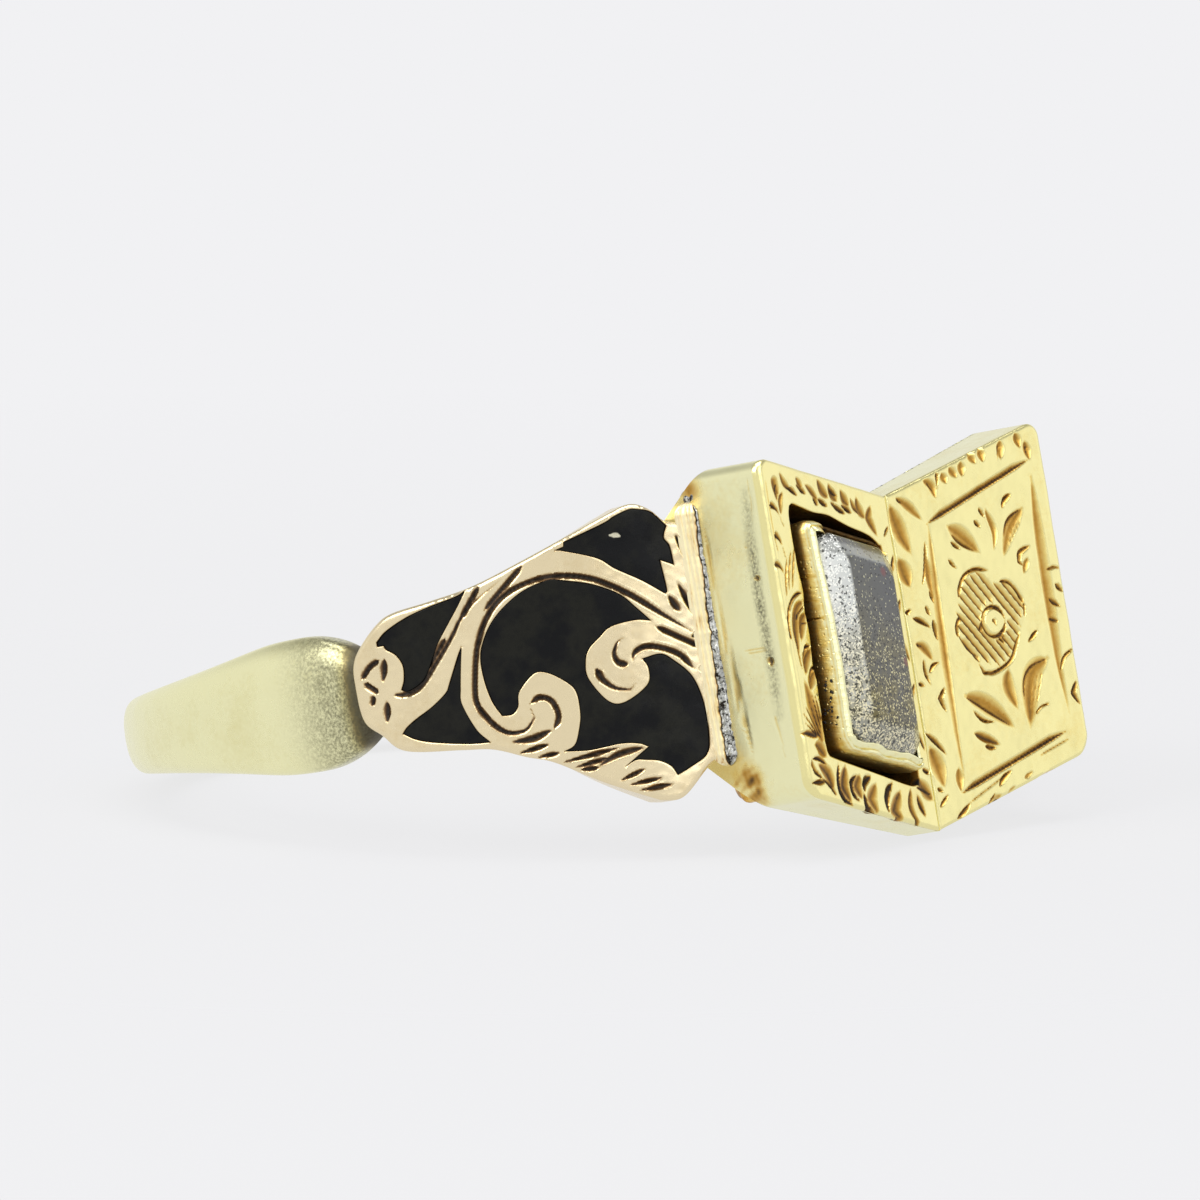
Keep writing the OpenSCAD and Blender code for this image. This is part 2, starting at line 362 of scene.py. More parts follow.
def carve(points, cuts, burr=0.006):
    """Depth below the face, and how dark the cut is, at flat points."""
    depth, shade = np.zeros(len(points)), np.zeros(len(points))
    for kind, width, deep, lean, lines in cuts:
        for line in lines:
            path = smooth(line, 0.05)
            reach = width + 0.05
            near = (points > path.min(axis=0) - reach) & (points < path.max(axis=0) + reach)
            near = np.nonzero(np.all(near, axis=1))[0]
            if len(near) == 0:
                continue
            far, share, side = to_path(points[near], path)
            full = taper(kind, share)
            half = 0.5 * width * full * (1 + lean * side) + 1e-6
            inner = np.clip(1 - far / half, 0, 1)
            cut = deep * full * inner ** 0.85
            raised = burr * np.exp(-((far - half - 0.012) / 0.018) ** 2) * full
            depth[near] = np.maximum(depth[near], cut) - np.where(cut > 0, 0, raised)
            # Painted shade: a leaning cut is dark on its steep flank and warm on its gentle one, an upright
            # cut darkens towards its middle, and a scoop keeps a warm tint; dirt in the cuts adds to it.
            dark = np.where(side * lean < 0, inner ** 0.25, 0.3 * inner ** 0.3 + 0.75 * inner ** 3)
            if lean == 0:
                dark = 0.5 * inner ** 0.2 + 0.45 * inner ** 1.5
            if kind == "scoop":
                dark = 0.65 * inner ** 0.6
            dark = dark * np.minimum(1, 2.5 * full) * min(1, deep / FULL_CUT_SHADE_DEEP)
            shade[near] = np.maximum(shade[near], dark)
    return depth, shade


def ripple(points, size, seed, waves=15):
    """Gentle unevenness of about -1 to 1 over flat points."""
    rng = np.random.default_rng(seed)
    angle = rng.uniform(0, 2 * np.pi, waves)
    number = 2 * np.pi / (size * rng.uniform(0.6, 1.7, waves))
    phase = rng.uniform(0, 2 * np.pi, waves)
    flow = points @ (np.stack((np.cos(angle), np.sin(angle))) * number) + phase
    return np.sin(flow).mean(axis=1) * 2.2


print("ripple over three points:", ripple(np.eye(3, 2), 1, 5).round(2))

# %% [markdown]
# ## From sheets to solid plates
# A sheet becomes a closed plate when its outline runs down as a wall to a back face, and each hole
# runs down to a floor. The walls keep several rows of points, so they can carry small dents.

# %% Closed plates
PIECES = []
# Of these values, cut carries painted shade with dirt, deep carries painted shade in pockets, and wear also
# carries painted shade at pocket rims.
VALUES = ("cut", "wear_and_rim_shade", "deep", "wall", "grey")


def new_piece(name, points, faces, values, material):
    """A mesh object at the origin, with its point values, riding on the ring."""
    mesh = bpy.data.meshes.new(name)
    mesh.from_pydata(points.tolist(), [], faces)
    for key, value in values.items():
        layer = mesh.attributes.new(key, "FLOAT", "POINT")
        layer.data.foreach_set("value", np.asarray(value, dtype=np.float32))
    solid = bmesh.new()
    solid.from_mesh(mesh)
    bmesh.ops.remove_doubles(solid, verts=solid.verts, dist=2e-8)
    bmesh.ops.recalc_face_normals(solid, faces=solid.faces)
    loose = sum(1 for e in solid.edges if len(e.link_faces) != 2)
    solid.to_mesh(mesh)
    solid.free()
    mesh.shade_smooth()
    mesh.set_sharp_from_angle(angle=math.radians(50))
    mesh.materials.append(material)
    piece = show(name, mesh)
    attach(piece, "root")
    PIECES.append(piece)
    triangles = sum(len(face.vertices) - 2 for face in mesh.polygons)
    print(f"{name}: {triangles} triangles, {loose} open edges")
    return piece


def read_mesh(mesh):
    """A mesh's points and its faces."""
    return np.array([v.co[:] for v in mesh.vertices]), [tuple(f.vertices) for f in mesh.polygons]


def quads(upper, lower, closed=True):
    """Faces between two rows of point numbers."""
    square = np.stack((upper, np.roll(upper, -1), np.roll(lower, -1), lower), axis=1)
    return [tuple(q) for q in (square if closed else square[:-1]).tolist()]


def level_at(place, side, h):
    """A function that puts flat points on a page or a shoulder, all at one height."""
    def level(xy):
        return place(side, xy[:, 0], xy[:, 1], h + 0 * xy[:, 0])
    return level


def plate(flat, top, back, floor=None, rows=8, marks=None):
    """Points, faces and values of a closed plate from a flat sheet.

    top(xy, drop) and back(xy) give upright points, floor(xy) those of the holes' floors, and
    marks(points) the dents and stains of the outer wall."""
    xy = flat["xy"]
    face, values = top(xy, flat["drop"])
    points, faces = [face], [tuple(t) for t in flat["tris"].tolist()]
    kept = [{"wear_and_rim_shade": flat["wear_and_rim_shade"], **values}]
    count = len(face)
    for number, ring in enumerate(flat["rings"]):
        below = floor if number else back
        levels = 4 if number else rows
        upper, lower, last = face[ring], below(xy[ring]), ring
        for k in range(1, levels + 1):
            share = k / levels
            row = np.arange(count, count + len(ring))
            level, marked = upper * (1 - share) + lower * share, {}
            if marks and number == 0:
                level, marked = marks(level)
            points.append(level)
            # Down a hole the value deep rises and is full on its floor: painted shade in the pocket.
            kept.append({"deep": (number > 0) * (0.25 + 0.75 * share), "wall": 1.0,
                         "wear_and_rim_shade": max(0, 1 - 12 * share), **marked})
            count += len(ring)
            faces += quads(last, row)
            last = row
        patch = sheet(xy[ring], step=0.12, edge_r=0.02)
        level, marked = below(patch["xy"]), {}
        if marks and number == 0:
            level, marked = marks(level)
        points.append(level)
        kept.append({"deep": float(number > 0), "wall": 1.0, **marked})
        faces += [tuple(t) for t in (patch["tris"] + count).tolist()]
        count += len(patch["xy"])
    merged = {key: np.concatenate([np.broadcast_to(k.get(key, 0), len(p)) for k, p in zip(kept, points)])
              for key in VALUES}
    return lay_down(np.vstack(points)), faces, merged


print("plates carry the values", ", ".join(VALUES))

# %% [markdown]
# ## Finishes
# Old gold is not one colour: it is pale where hands have rubbed it, deep orange down in pockets
# and brown-black at the bottom of a cut, and these dark tones are painted shade mixed with dirt.
# The point values made above, for cuts, wear and rim shade, and depth, steer those colours, and
# noise on Object coordinates adds tarnish, pits and fine scratches.

# %% Node helpers and colours
def srgb(r, g, b):
    """A linear colour from the usual 0 to 255 numbers."""
    return tuple((v / 255 / 12.92 if v / 255 <= 0.04045 else ((v / 255 + 0.055) / 1.055) ** 2.4)
                 for v in (r, g, b)) + (1,)


def fill(tree, target, inputs):
    """Sets a node's inputs to values, or links them to what other nodes work out."""
    for key, value in inputs.items():
        value = getattr(value, "socket", value)
        if isinstance(value, bpy.types.NodeSocket):
            tree.links.new(value, target.inputs[key])
        else:
            target.inputs[key].default_value = value


def node(tree, kind, inputs=None, **settings):
    """A new node with its settings and its inputs."""
    new = tree.nodes.new(kind)
    for key, value in settings.items():
        setattr(new, key, value)
    fill(tree, new, inputs or {})
    return new


class Number:
    """What a node works out. The signs + - * / and ** on it add Math nodes to its tree."""

    def __init__(self, tree, socket):
        self.tree, self.socket = tree, socket


def maths(tree, operation, *values, **settings):
    """The answer of one Math node."""
    made = node(tree, "ShaderNodeMath", dict(enumerate(values)), operation=operation, **settings)
    return Number(tree, made.outputs[0])


SIGNS = {"add": "ADD", "sub": "SUBTRACT", "mul": "MULTIPLY", "truediv": "DIVIDE", "pow": "POWER"}
for sign, operation in SIGNS.items():
    setattr(Number, f"__{sign}__", lambda a, b, way=operation: maths(a.tree, way, a, b))
    setattr(Number, f"__r{sign}__", lambda a, b, way=operation: maths(a.tree, way, b, a))


def value_of(tree, name):
    return Number(tree, node(tree, "ShaderNodeAttribute", attribute_name=name).outputs["Fac"])


def mix(tree, share, low, high, blend="MIX"):
    """A colour between two colours, or their product."""
    new = node(tree, "ShaderNodeMix", {0: share, 6: low, 7: high}, data_type="RGBA", blend_type=blend)
    return Number(tree, new.outputs[2])


def ramp(tree, value, stops):
    """A Color Ramp through (position, colour) stops; a plain number stands for a grey."""
    new = node(tree, "ShaderNodeValToRGB", {0: value})
    line = new.color_ramp
    while len(line.elements) < len(stops):
        line.elements.new(0.5)
    for element, (at, colour) in zip(line.elements, stops):
        element.position = at
        element.color = colour if isinstance(colour, tuple) else (colour, colour, colour, 1)
    return Number(tree, new.outputs[0])


def noise(tree, where, size, detail=4.0, rough=0.55, stretch=(1, 1, 1), turn=(0, 0, 0)):
    """Noise with blobs of a size in millimetres, which can be stretched and turned."""
    place = node(tree, "ShaderNodeMapping", {"Vector": where, "Scale": stretch, "Rotation": turn})
    made = node(tree, "ShaderNodeTexNoise", {"Vector": place.outputs[0], "Scale": 1000 / size,
                                             "Detail": detail, "Roughness": rough})
    return Number(tree, made.outputs["Fac"])


def grit(tree, where, size):
    """A random value for each cell of a size in millimetres."""
    found = node(tree, "ShaderNodeTexVoronoi", {"Vector": where, "Scale": 1000 / size}).outputs["Color"]
    return Number(tree, node(tree, "ShaderNodeSeparateColor", {0: found}).outputs[0])


def start_material(name):
    """A new material's tree, its shader and its Object coordinates."""
    material = bpy.data.materials.new(name)
    material.use_nodes = True
    tree = material.node_tree
    shader = tree.nodes["Principled BSDF"]
    where = node(tree, "ShaderNodeTexCoord").outputs["Object"]
    return material, tree, shader, where


def bump(tree, shader, height, distance):
    """Adds one more layer of relief, in millimetres, to a shader."""
    below = shader.inputs["Normal"].links
    new = node(tree, "ShaderNodeBump", {"Height": height, "Distance": distance * MM, "Strength": 1.0})
    if below:
        tree.links.new(below[0].from_socket, new.inputs["Normal"])
    tree.links.new(new.outputs[0], shader.inputs["Normal"])


# The deep and dark tones and CUT_BLACK colour cuts and pockets, as painted shade with dirt.
GOLD_PALE, GOLD_WARM = srgb(242, 239, 191), srgb(234, 216, 146)
GOLD_ORANGE, GOLD_BROWN = srgb(190, 148, 74), srgb(88, 64, 32)
ROSE_PALE, ROSE_WARM = srgb(234, 218, 180), srgb(214, 192, 146)
ROSE_DEEP, ROSE_BROWN = srgb(134, 106, 76), srgb(60, 47, 34)
BAND_WARM, BAND_DEEP, BAND_BROWN = srgb(226, 218, 160), srgb(150, 136, 92), srgb(74, 66, 44)
CUT_BLACK = srgb(24, 19, 13)
GREY_SPECK = srgb(92, 88, 66)
WHITE = (1, 1, 1, 1)
# The page faces are tinted yellower than their walls: painted light on one gold.
PAGE_LIGHT_TINT = (0.97, 0.91, 0.72, 1)
print("pale gold is", [round(v, 2) for v in GOLD_PALE[:3]])

# %% [markdown]
# ## The gold
# One recipe serves every gold surface: a metallic shader whose colour runs from pale to brown-black
# with the depth of a cut, as painted shade with dirt, whose roughness wanders, and whose relief
# holds fine scratches in two directions. The head's gold is greenish yellow and the shoulders'
# gold is rosy.

# %% The recipe for gold
def gold(name, pale, warm, deep, dark, rough, face_light_tint=WHITE):
    """Worn gold whose cuts and pockets are darkened by painted shade and dirt; the face may be tinted a
    little yellower than the walls, as painted light on the same gold.
    """
    material, tree, shader, where = start_material(name)
    cloud, grain = noise(tree, where, 1.6, 3), noise(tree, where, 0.12, 5, 0.7)
    # The darkness value: painted shade of cuts, pockets and pocket rims, with dirt, tone and wear.
    dirt_and_shade = value_of(tree, "cut") + value_of(tree, "deep") * 0.88
    dirt_and_shade = dirt_and_shade + (cloud - 0.5) * 0.34 + (grain - 0.5) * 0.22 - value_of(tree, "wear_and_rim_shade") * 0.3
    dirt_and_shade = maths(tree, "ADD", dirt_and_shade, 0.0, use_clamp=True)
    colour = ramp(tree, dirt_and_shade, [(0.0, pale), (0.2, warm), (0.44, deep), (0.68, dark), (0.92, CUT_BLACK)])
    # Faces take the painted light tint; walls keep the plain colour.
    colour = mix(tree, 1.0, colour, mix(tree, value_of(tree, "wall"), face_light_tint, WHITE), "MULTIPLY")
    fine = ramp(tree, noise(tree, where, 0.07, 4, 0.75), [(0.36, 0.15), (0.6, 1.0)])
    dull = ramp(tree, dirt_and_shade, [(0.0, rough), (0.4, rough + 0.08), (0.7, 0.55), (1.0, 0.75)])
    uneven = (noise(tree, where, 0.5, 6, 0.6) - 0.5) * 0.22
    fill(tree, shader, {
        "Base Color": mix(tree, value_of(tree, "grey") * fine, colour, GREY_SPECK),
        "Roughness": maths(tree, "ADD", dull, uneven, use_clamp=True),
        "Metallic": ramp(tree, dirt_and_shade, [(0.0, 1.0), (0.5, 1.0), (0.85, 0.3)])})
    for turn, stretch in (((0.2, 0.3, 0.5), (1, 30, 30)), ((1.1, 0.4, 2.0), (26, 1, 26))):
        bump(tree, shader, noise(tree, where, 1.4, 3, 0.6, stretch, turn), 0.0006)
    bump(tree, shader, noise(tree, where, 0.7, 2), 0.004)
    return material


head_gold = gold("head gold", GOLD_PALE, GOLD_WARM, GOLD_ORANGE, GOLD_BROWN, 0.24, PAGE_LIGHT_TINT)
band_gold = gold("band gold", GOLD_PALE, BAND_WARM, BAND_DEEP, BAND_BROWN, 0.27)
rose_gold = gold("rose gold", ROSE_PALE, ROSE_WARM, ROSE_DEEP, ROSE_BROWN, 0.26)
print("made", len(bpy.data.materials), "golds")

# %% [markdown]
# ## The engraved cuts
# These short tables are the drawings: a kind of cut, its width and depth in millimetres, how far it
# leans to one side, and the lines. On a page the numbers are the distance from the fold and the
# height along the finger; on a shoulder the first number runs from the head to the tail.

# %% Drawings of the right page: a framed flower with leaves
RIGHT_CUTS = [
    ("line", 0.17, 0.08, 0.5, [[(1.12, 1.78), (4.5, 2.87)], [(0.82, -4.28), (4.3, -3.28)]]),
    ("line", 0.05, 0.03, 0, [[(3.4, -3.72), (4.35, -3.46)], [(1.0, -4.52), (2.5, -3.93)]]),
    ("scoop", 0.36, 0.04, 0.4, [
        [(4.5, 2.5), (4.42, 1.2), (4.4, 0), (4.4, -1.3), (4.42, -2.0), (4.5, -2.9)]]),
    ("scoop", 0.26, 0.04, -0.5, [[(1.16, 1.75), (1.06, -1), (0.98, -4.1)]]),
    ("line", 0.11, 0.07, 0, [
        [(1.7, 0.02), (1.82, 0.32), (2.02, 0.53), (2.35, 0.62), (2.7, 0.56)],
        [(3.0, 0.27), (3.3, 0.22), (3.52, -0.02), (3.66, -0.3)],
        [(1.7, -0.36), (1.52, -0.55), (1.5, -0.82)],
        [(2.0, -1.5), (2.12, -1.7), (2.45, -1.72), (2.98, -1.52), (3.25, -1.15), (3.4, -0.92)]]),
    ("line", 0.06, 0.05, 0, [
        [(1.52, -0.8), (1.72, -1.12), (2.0, -1.32)], [(3.66, -0.3), (3.62, -0.6)],
        [(3.45, -2.8), (3.68, -2.65), (3.95, -2.6)]]),
    ("scoop", 0.5, 0.06, 0, [
        [(1.72, 1.66), (2.15, 1.36), (2.58, 0.96)], [(1.42, -2.12), (2.05, -2.42), (2.78, -3.02)]]),
    ("scoop", 0.4, 0.06, 0, [
        [(4.08, 1.82), (3.62, 1.4), (3.26, 0.78)], [(2.86, -1.7), (2.78, -2.1), (2.95, -2.62)]]),
    ("scoop", 0.62, 0.06, 0, [[(4.1, -1.58), (3.55, -1.95), (3.24, -3.08)]]),
    ("leaf", 0.15, 0.09, 0, [
        [(4.0, 1.8), (3.58, 1.55), (3.36, 1.18)], [(1.4, -2.16), (1.8, -2.38), (2.72, -3.0)],
        [(1.78, 1.48), (2.1, 1.22), (2.48, 1.0)], [(3.8, 2.18), (3.56, 2.04), (3.46, 1.86)],
        [(4.1, -1.6), (3.6, -1.74), (3.3, -2.05), (3.2, -2.5)]]),
    ("leaf", 0.12, 0.09, 0, [
        [(1.6, -2.5), (1.86, -2.74), (2.2, -2.82)], [(1.74, 1.3), (2.0, 1.1)], [(2.76, 1.96), (2.9, 1.74)],
        [(1.58, 0.92), (1.78, 0.7)], [(2.56, 1.7), (2.72, 1.52)], [(3.94, -0.94), (3.6, -1.18)],
        [(2.2, -0.82), (2.3, -0.52)]]),
    ("leaf", 0.24, 0.1, 0, [[(1.52, -3.0), (1.85, -3.15), (2.26, -3.34)]]),
    ("leaf", 0.15, 0.08, 0, [
        [(1.78, -3.32), (2.12, -3.4)], [(4.12, 0.96), (3.8, 0.84), (3.72, 0.64), (3.88, 0.5)]]),
    ("scoop", 0.2, 0.05, 0, [[(2.95, 1.92), (3.12, 1.4), (3.0, 0.94)], [(4.0, 0.7), (3.8, 0.35)]]),
    ("line", 0.04, 0.03, 0, [
        [(2.0, 1.5), (2.4, 1.12)], [(2.1, 1.5), (2.5, 1.08)], [(3.9, 1.62), (3.4, 1.0)],
        [(3.98, 1.55), (3.5, 1.05)], [(1.75, -2.2), (2.4, -2.62)], [(1.95, -2.28), (2.6, -2.75)],
        [(3.75, -1.9), (3.4, -2.7)], [(3.88, -1.85), (3.55, -2.6)], [(3.6, -1.95), (3.3, -2.8)]]),
    ("scoop", 0.26, 0.055, 0, [
        [(1.2, 2.75), (1.42, 2.62), (1.5, 2.3)], [(2.05, 2.95), (2.25, 2.7)], [(2.7, 3.22), (2.9, 2.95)],
        [(3.08, 3.3), (3.12, 2.95)], [(3.75, 3.4), (3.66, 2.95)], [(4.24, 3.52), (4.32, 3.15)],
        [(4.5, 3.3), (4.56, 2.85)], [(2.45, 3.05), (2.4, 2.7)], [(1.8, 2.85), (1.9, 2.6)]]),
    ("drop", 0.12, 0.08, 0, [
        [(1.66, 2.88), (1.58, 2.48)], [(3.7, 3.3), (3.55, 2.95)], [(4.54, 3.2), (4.5, 2.95)],
        [(1.34, 2.68), (1.48, 2.42)]]),
    ("scoop", 0.5, 0.055, 0, [
        [(0.08, 2.3), (0.25, 1.7), (0.5, 1.15)], [(0.08, 1.1), (0.2, 0.72), (0.3, 0.42)],
        [(0.1, -3.15), (0.25, -3.6), (0.35, -4.1)]]),
    ("scoop", 0.26, 0.055, 0, [
        [(0.32, 2.45), (0.65, 2.22), (1.0, 1.86)], [(0.18, -0.82), (0.42, -0.95), (0.62, -1.25)],
        [(0.86, -3.7), (0.82, -4.25)], [(0.9, 1.1), (0.95, 0.0)], [(1.75, -4.6), (2.05, -4.45)]]),
    ("leaf", 0.15, 0.09, 0, [
        [(0.22, -0.25), (0.45, -0.34), (0.72, -0.52)], [(0.82, -0.34), (0.85, -0.84)],
        [(0.84, -1.88), (0.66, -2.12), (0.78, -2.45)], [(0.03, -2.82), (0.3, -3.05), (0.58, -3.38)],
        [(0.58, -4.82), (0.8, -4.7), (1.05, -4.5)], [(2.0, -4.26), (2.2, -4.08), (2.48, -3.93)]]),
    ("leaf", 0.11, 0.08, 0, [
        [(0.97, 1.4), (0.85, 0.85), (0.66, 0.4)], [(0.86, 0.3), (0.95, 0.0)],
        [(0.67, -0.02), (0.74, -0.26)], [(0.02, -0.14), (0.22, -0.05)], [(0.2, -0.84), (0.38, -0.9)],
        [(0.33, -1.2), (0.34, -1.5), (0.44, -1.78)], [(0.45, -1.52), (0.6, -1.36), (0.82, -1.3)],
        [(0.08, -1.7), (0.24, -1.78)], [(0.12, -4.5), (0.42, -4.24)], [(0.12, -4.08), (0.3, -4.16)],
        [(1.6, -4.66), (1.86, -4.38)], [(0.3, 2.44), (0.5, 2.3)]]),
    ("scoop", 0.12, 0.05, 0, [
        [(2.25, -4.45), (2.5, -4.3)], [(2.8, -4.18), (3.1, -4.04)], [(3.2, -4.25), (3.85, -4.05)]]),
    ("leaf", 0.1, 0.06, 0, [
        [(4.5, 0.36), (4.75, 0.4), (5.0, 0.36)], [(5.0, -1.45), (4.62, -1.64), (4.42, -2.0)]]),
    ("leaf", 0.16, 0.08, 0, [
        [(4.9, -2.18), (4.72, -2.45), (4.88, -2.75)], [(4.72, 0.03), (4.95, -0.18)],
        [(4.45, -0.28), (4.76, -0.5)], [(4.36, -0.72), (4.64, -0.82)]]),
    ("drop", 0.13, 0.09, 0, [
        [(2.66, -0.54), (2.72, -0.7)], [(2.72, -0.93), (3.0, -0.95)], [(2.74, -0.95), (2.92, -1.18)]]),
]
PETALS = [
    (2.0, 0.5), (2.3, 0.6), (2.62, 0.55), (2.75, 0.25), (3.05, 0.28), (3.32, 0.2), (3.55, -0.05),
    (3.68, -0.35), (3.5, -0.7), (3.28, -1.2), (2.75, -1.66), (2.0, -1.45), (1.55, -0.95), (1.48, -0.6),
    (1.55, -0.2), (1.78, 0.25)]
FLOWER_EYE = (2.66, -0.6)
FLOWER_EYE_R = 0.34
HATCH_STEP = 0.19
HATCH_SLOPE = -1.25
# The right page keeps this share of the painted shade in its cuts, so they are paler.
RIGHT_CUT_SHADE = 0.84
print("right page:", sum(len(lines) for *_, lines in RIGHT_CUTS), "cuts")

# %% Drawings of the left page: a border of leaf cuts round the window
LEFT_CUTS = [
    ("leaf", 0.15, 0.1, 0, [
        [(3.66, 2.8), (3.85, 2.93), (4.08, 3.0)], [(3.3, 2.81), (3.64, 3.04)], [(2.48, 2.48), (2.86, 2.66)],
        [(2.86, 2.53), (3.04, 2.7)], [(2.02, 2.66), (2.3, 2.88)], [(1.8, 2.26), (2.05, 2.38), (2.34, 2.56)],
        [(1.52, 2.26), (1.92, 2.46)]]),
    ("scoop", 0.2, 0.06, 0, [
        [(3.9, 2.95), (4.1, 3.1), (4.25, 3.36)], [(2.85, 2.65), (3.05, 2.85), (3.28, 3.02)],
        [(3.4, 2.95), (3.6, 3.2)], [(1.15, 2.2), (1.4, 2.4), (1.5, 2.6)],
        [(4.24, 2.9), (4.36, 2.74), (4.44, 2.4)]]),
    ("scoop", 0.3, 0.06, 0, [
        [(2.4, 2.66), (2.6, 2.85), (2.75, 3.1)], [(1.6, 2.42), (1.75, 2.6), (1.85, 2.8)],
        [(2.05, 2.55), (2.25, 2.8), (2.3, 2.98)], [(0.7, 2.35), (0.85, 2.1), (0.6, 1.65)],
        [(1.0, 2.1), (1.2, 2.35), (1.25, 2.6)], [(4.42, 2.85), (4.5, 3.15), (4.5, 2.7)]]),
    ("leaf", 0.09, 0.06, 0, [
        [(1.2, 2.2), (1.38, 2.36)], [(4.42, 3.1), (4.5, 2.95), (4.5, 2.8)], [(0.1, 1.84), (0.36, 1.62)]]),
    ("drop", 0.18, 0.1, 0, [
        [(4.82, 2.68), (4.62, 2.58), (4.48, 2.38)], [(4.82, 2.02), (4.68, 1.92), (4.56, 1.7)],
        [(4.97, 1.38), (4.8, 1.3), (4.68, 1.1)]]),
    ("line", 0.035, 0.025, 0, [
        [(4.5, 2.4), (4.38, 2.15)], [(4.58, 1.72), (4.52, 1.45)], [(4.7, 1.12), (4.64, 0.9)],
        [(4.84, 2.0), (4.8, 1.6)]]),
    ("scoop", 0.1, 0.045, 0, [
        [(4.12, 1.65), (4.3, 1.2), (4.46, 0.75)], [(4.28, 1.6), (4.5, 1.1), (4.62, 0.7)],
        [(4.5, 1.45), (4.66, 1.0), (4.76, 0.55)]]),
    ("line", 0.1, 0.07, 0, [
        [(4.1, 0.66), (4.3, 0.64), (4.52, 0.54), (4.72, 0.36), (4.84, 0.12), (4.87, -0.12), (4.84, -0.35)]]),
    ("scoop", 0.34, 0.06, 0, [
        [(4.12, 0.48), (4.42, 0.3), (4.6, -0.15), (4.62, -0.7)], [(4.12, 0.2), (4.3, 0.0), (4.45, -0.4)],
        [(4.12, -0.6), (4.35, -0.8), (4.5, -1.15)], [(4.12, -1.1), (4.3, -1.3), (4.4, -1.5)]]),
    ("line", 0.05, 0.05, 0, [
        [(4.12, 0.36), (4.4, 0.2), (4.48, 0.05)], [(4.12, -0.02), (4.32, -0.04), (4.48, -0.24)],
        [(4.62, 0.2), (4.66, -0.3), (4.6, -1.0)]]),
    ("leaf", 0.13, 0.1, 0, [
        [(4.1, -0.52), (4.32, -0.55), (4.52, -0.84)], [(4.08, -0.98), (4.24, -1.08), (4.38, -1.28)]]),
    ("scoop", 0.5, 0.04, 0, [[(4.25, -2.7), (4.4, -2.0), (4.6, -1.2)]]),
    ("drop", 0.08, 0.07, 0, [
        [(4.3, -2.55), (4.58, -2.05), (4.88, -1.6)], [(4.35, -2.52), (4.68, -2.15), (4.97, -1.84)],
        [(4.4, -2.5), (4.92, -2.12)], [(4.24, -2.5), (4.44, -1.95), (4.62, -1.45)],
        [(4.2, -2.35), (4.3, -1.9), (4.44, -1.4)], [(4.16, -2.2), (4.22, -1.8), (4.3, -1.45)]]),
    ("leaf", 0.17, 0.07, 0, [[(4.42, -2.52), (4.75, -2.42), (5.06, -2.4)]]),
    ("scoop", 0.4, 0.06, 0, [
        [(4.12, -3.7), (4.25, -3.35), (4.6, -3.1)], [(4.2, -2.98), (4.4, -2.75), (4.6, -2.68)]]),
    ("leaf", 0.13, 0.09, 0, [
        [(4.24, -3.14), (4.5, -3.0), (4.8, -2.98)], [(4.84, -3.0), (4.76, -3.24), (4.46, -3.46)],
        [(4.04, -3.86), (4.26, -3.6), (4.52, -3.44)], [(4.4, -3.52), (4.96, -3.5)]]),
    ("leaf", 0.16, 0.1, 0.3, [
        [(3.76, -3.18), (3.86, -3.6), (3.74, -3.95), (3.34, -4.18)],
        [(3.08, -3.48), (3.34, -3.64), (3.32, -3.88), (3.1, -4.1)]]),
    ("leaf", 0.22, 0.11, 0.3, [
        [(2.92, -3.9), (2.8, -4.25), (2.5, -4.46), (2.1, -4.6)],
        [(1.66, -3.78), (1.96, -4.08), (2.0, -4.46)], [(2.52, -3.56), (2.8, -3.72), (2.86, -3.9)]]),
    ("scoop", 0.42, 0.06, 0, [
        [(3.5, -3.25), (3.68, -3.7), (3.45, -4.1)], [(2.35, -3.75), (2.62, -4.05), (2.4, -4.48)],
        [(1.4, -4.0), (1.74, -4.4), (1.38, -4.76)], [(2.95, -3.5), (3.12, -3.75), (3.0, -4.05)],
        [(0.1, -4.3), (0.4, -4.0), (0.62, -3.78)]]),
    ("scoop", 0.24, 0.06, 0, [
        [(0.95, -3.98), (1.04, -4.4), (0.76, -4.86)], [(0.72, -4.15), (0.62, -4.4), (0.5, -4.68)]]),
    ("leaf", 0.14, 0.09, 0, [
        [(1.72, -4.54), (1.36, -4.77)], [(0.98, -4.62), (0.76, -4.87)],
        [(0.72, -4.18), (0.58, -4.42), (0.48, -4.66)], [(0.1, -4.2), (0.38, -4.06), (0.72, -3.97)],
        [(0.05, -3.7), (0.36, -3.6)]]),
    ("line", 0.05, 0.02, 0.3, [[(4.86, 3.4), (4.88, 0.5), (4.87, -3.4)]]),
    ("leaf", 0.14, 0.06, 0, [
        [(0.08, 1.2), (0.32, 0.7)], [(0.1, 0.2), (0.36, -0.2)], [(0.3, -0.7), (0.1, -1.2)],
        [(0.08, -1.7), (0.34, -2.1)], [(0.3, -2.7), (0.1, -3.2)]]),
]
print("left page:", sum(len(lines) for *_, lines in LEFT_CUTS), "cuts")

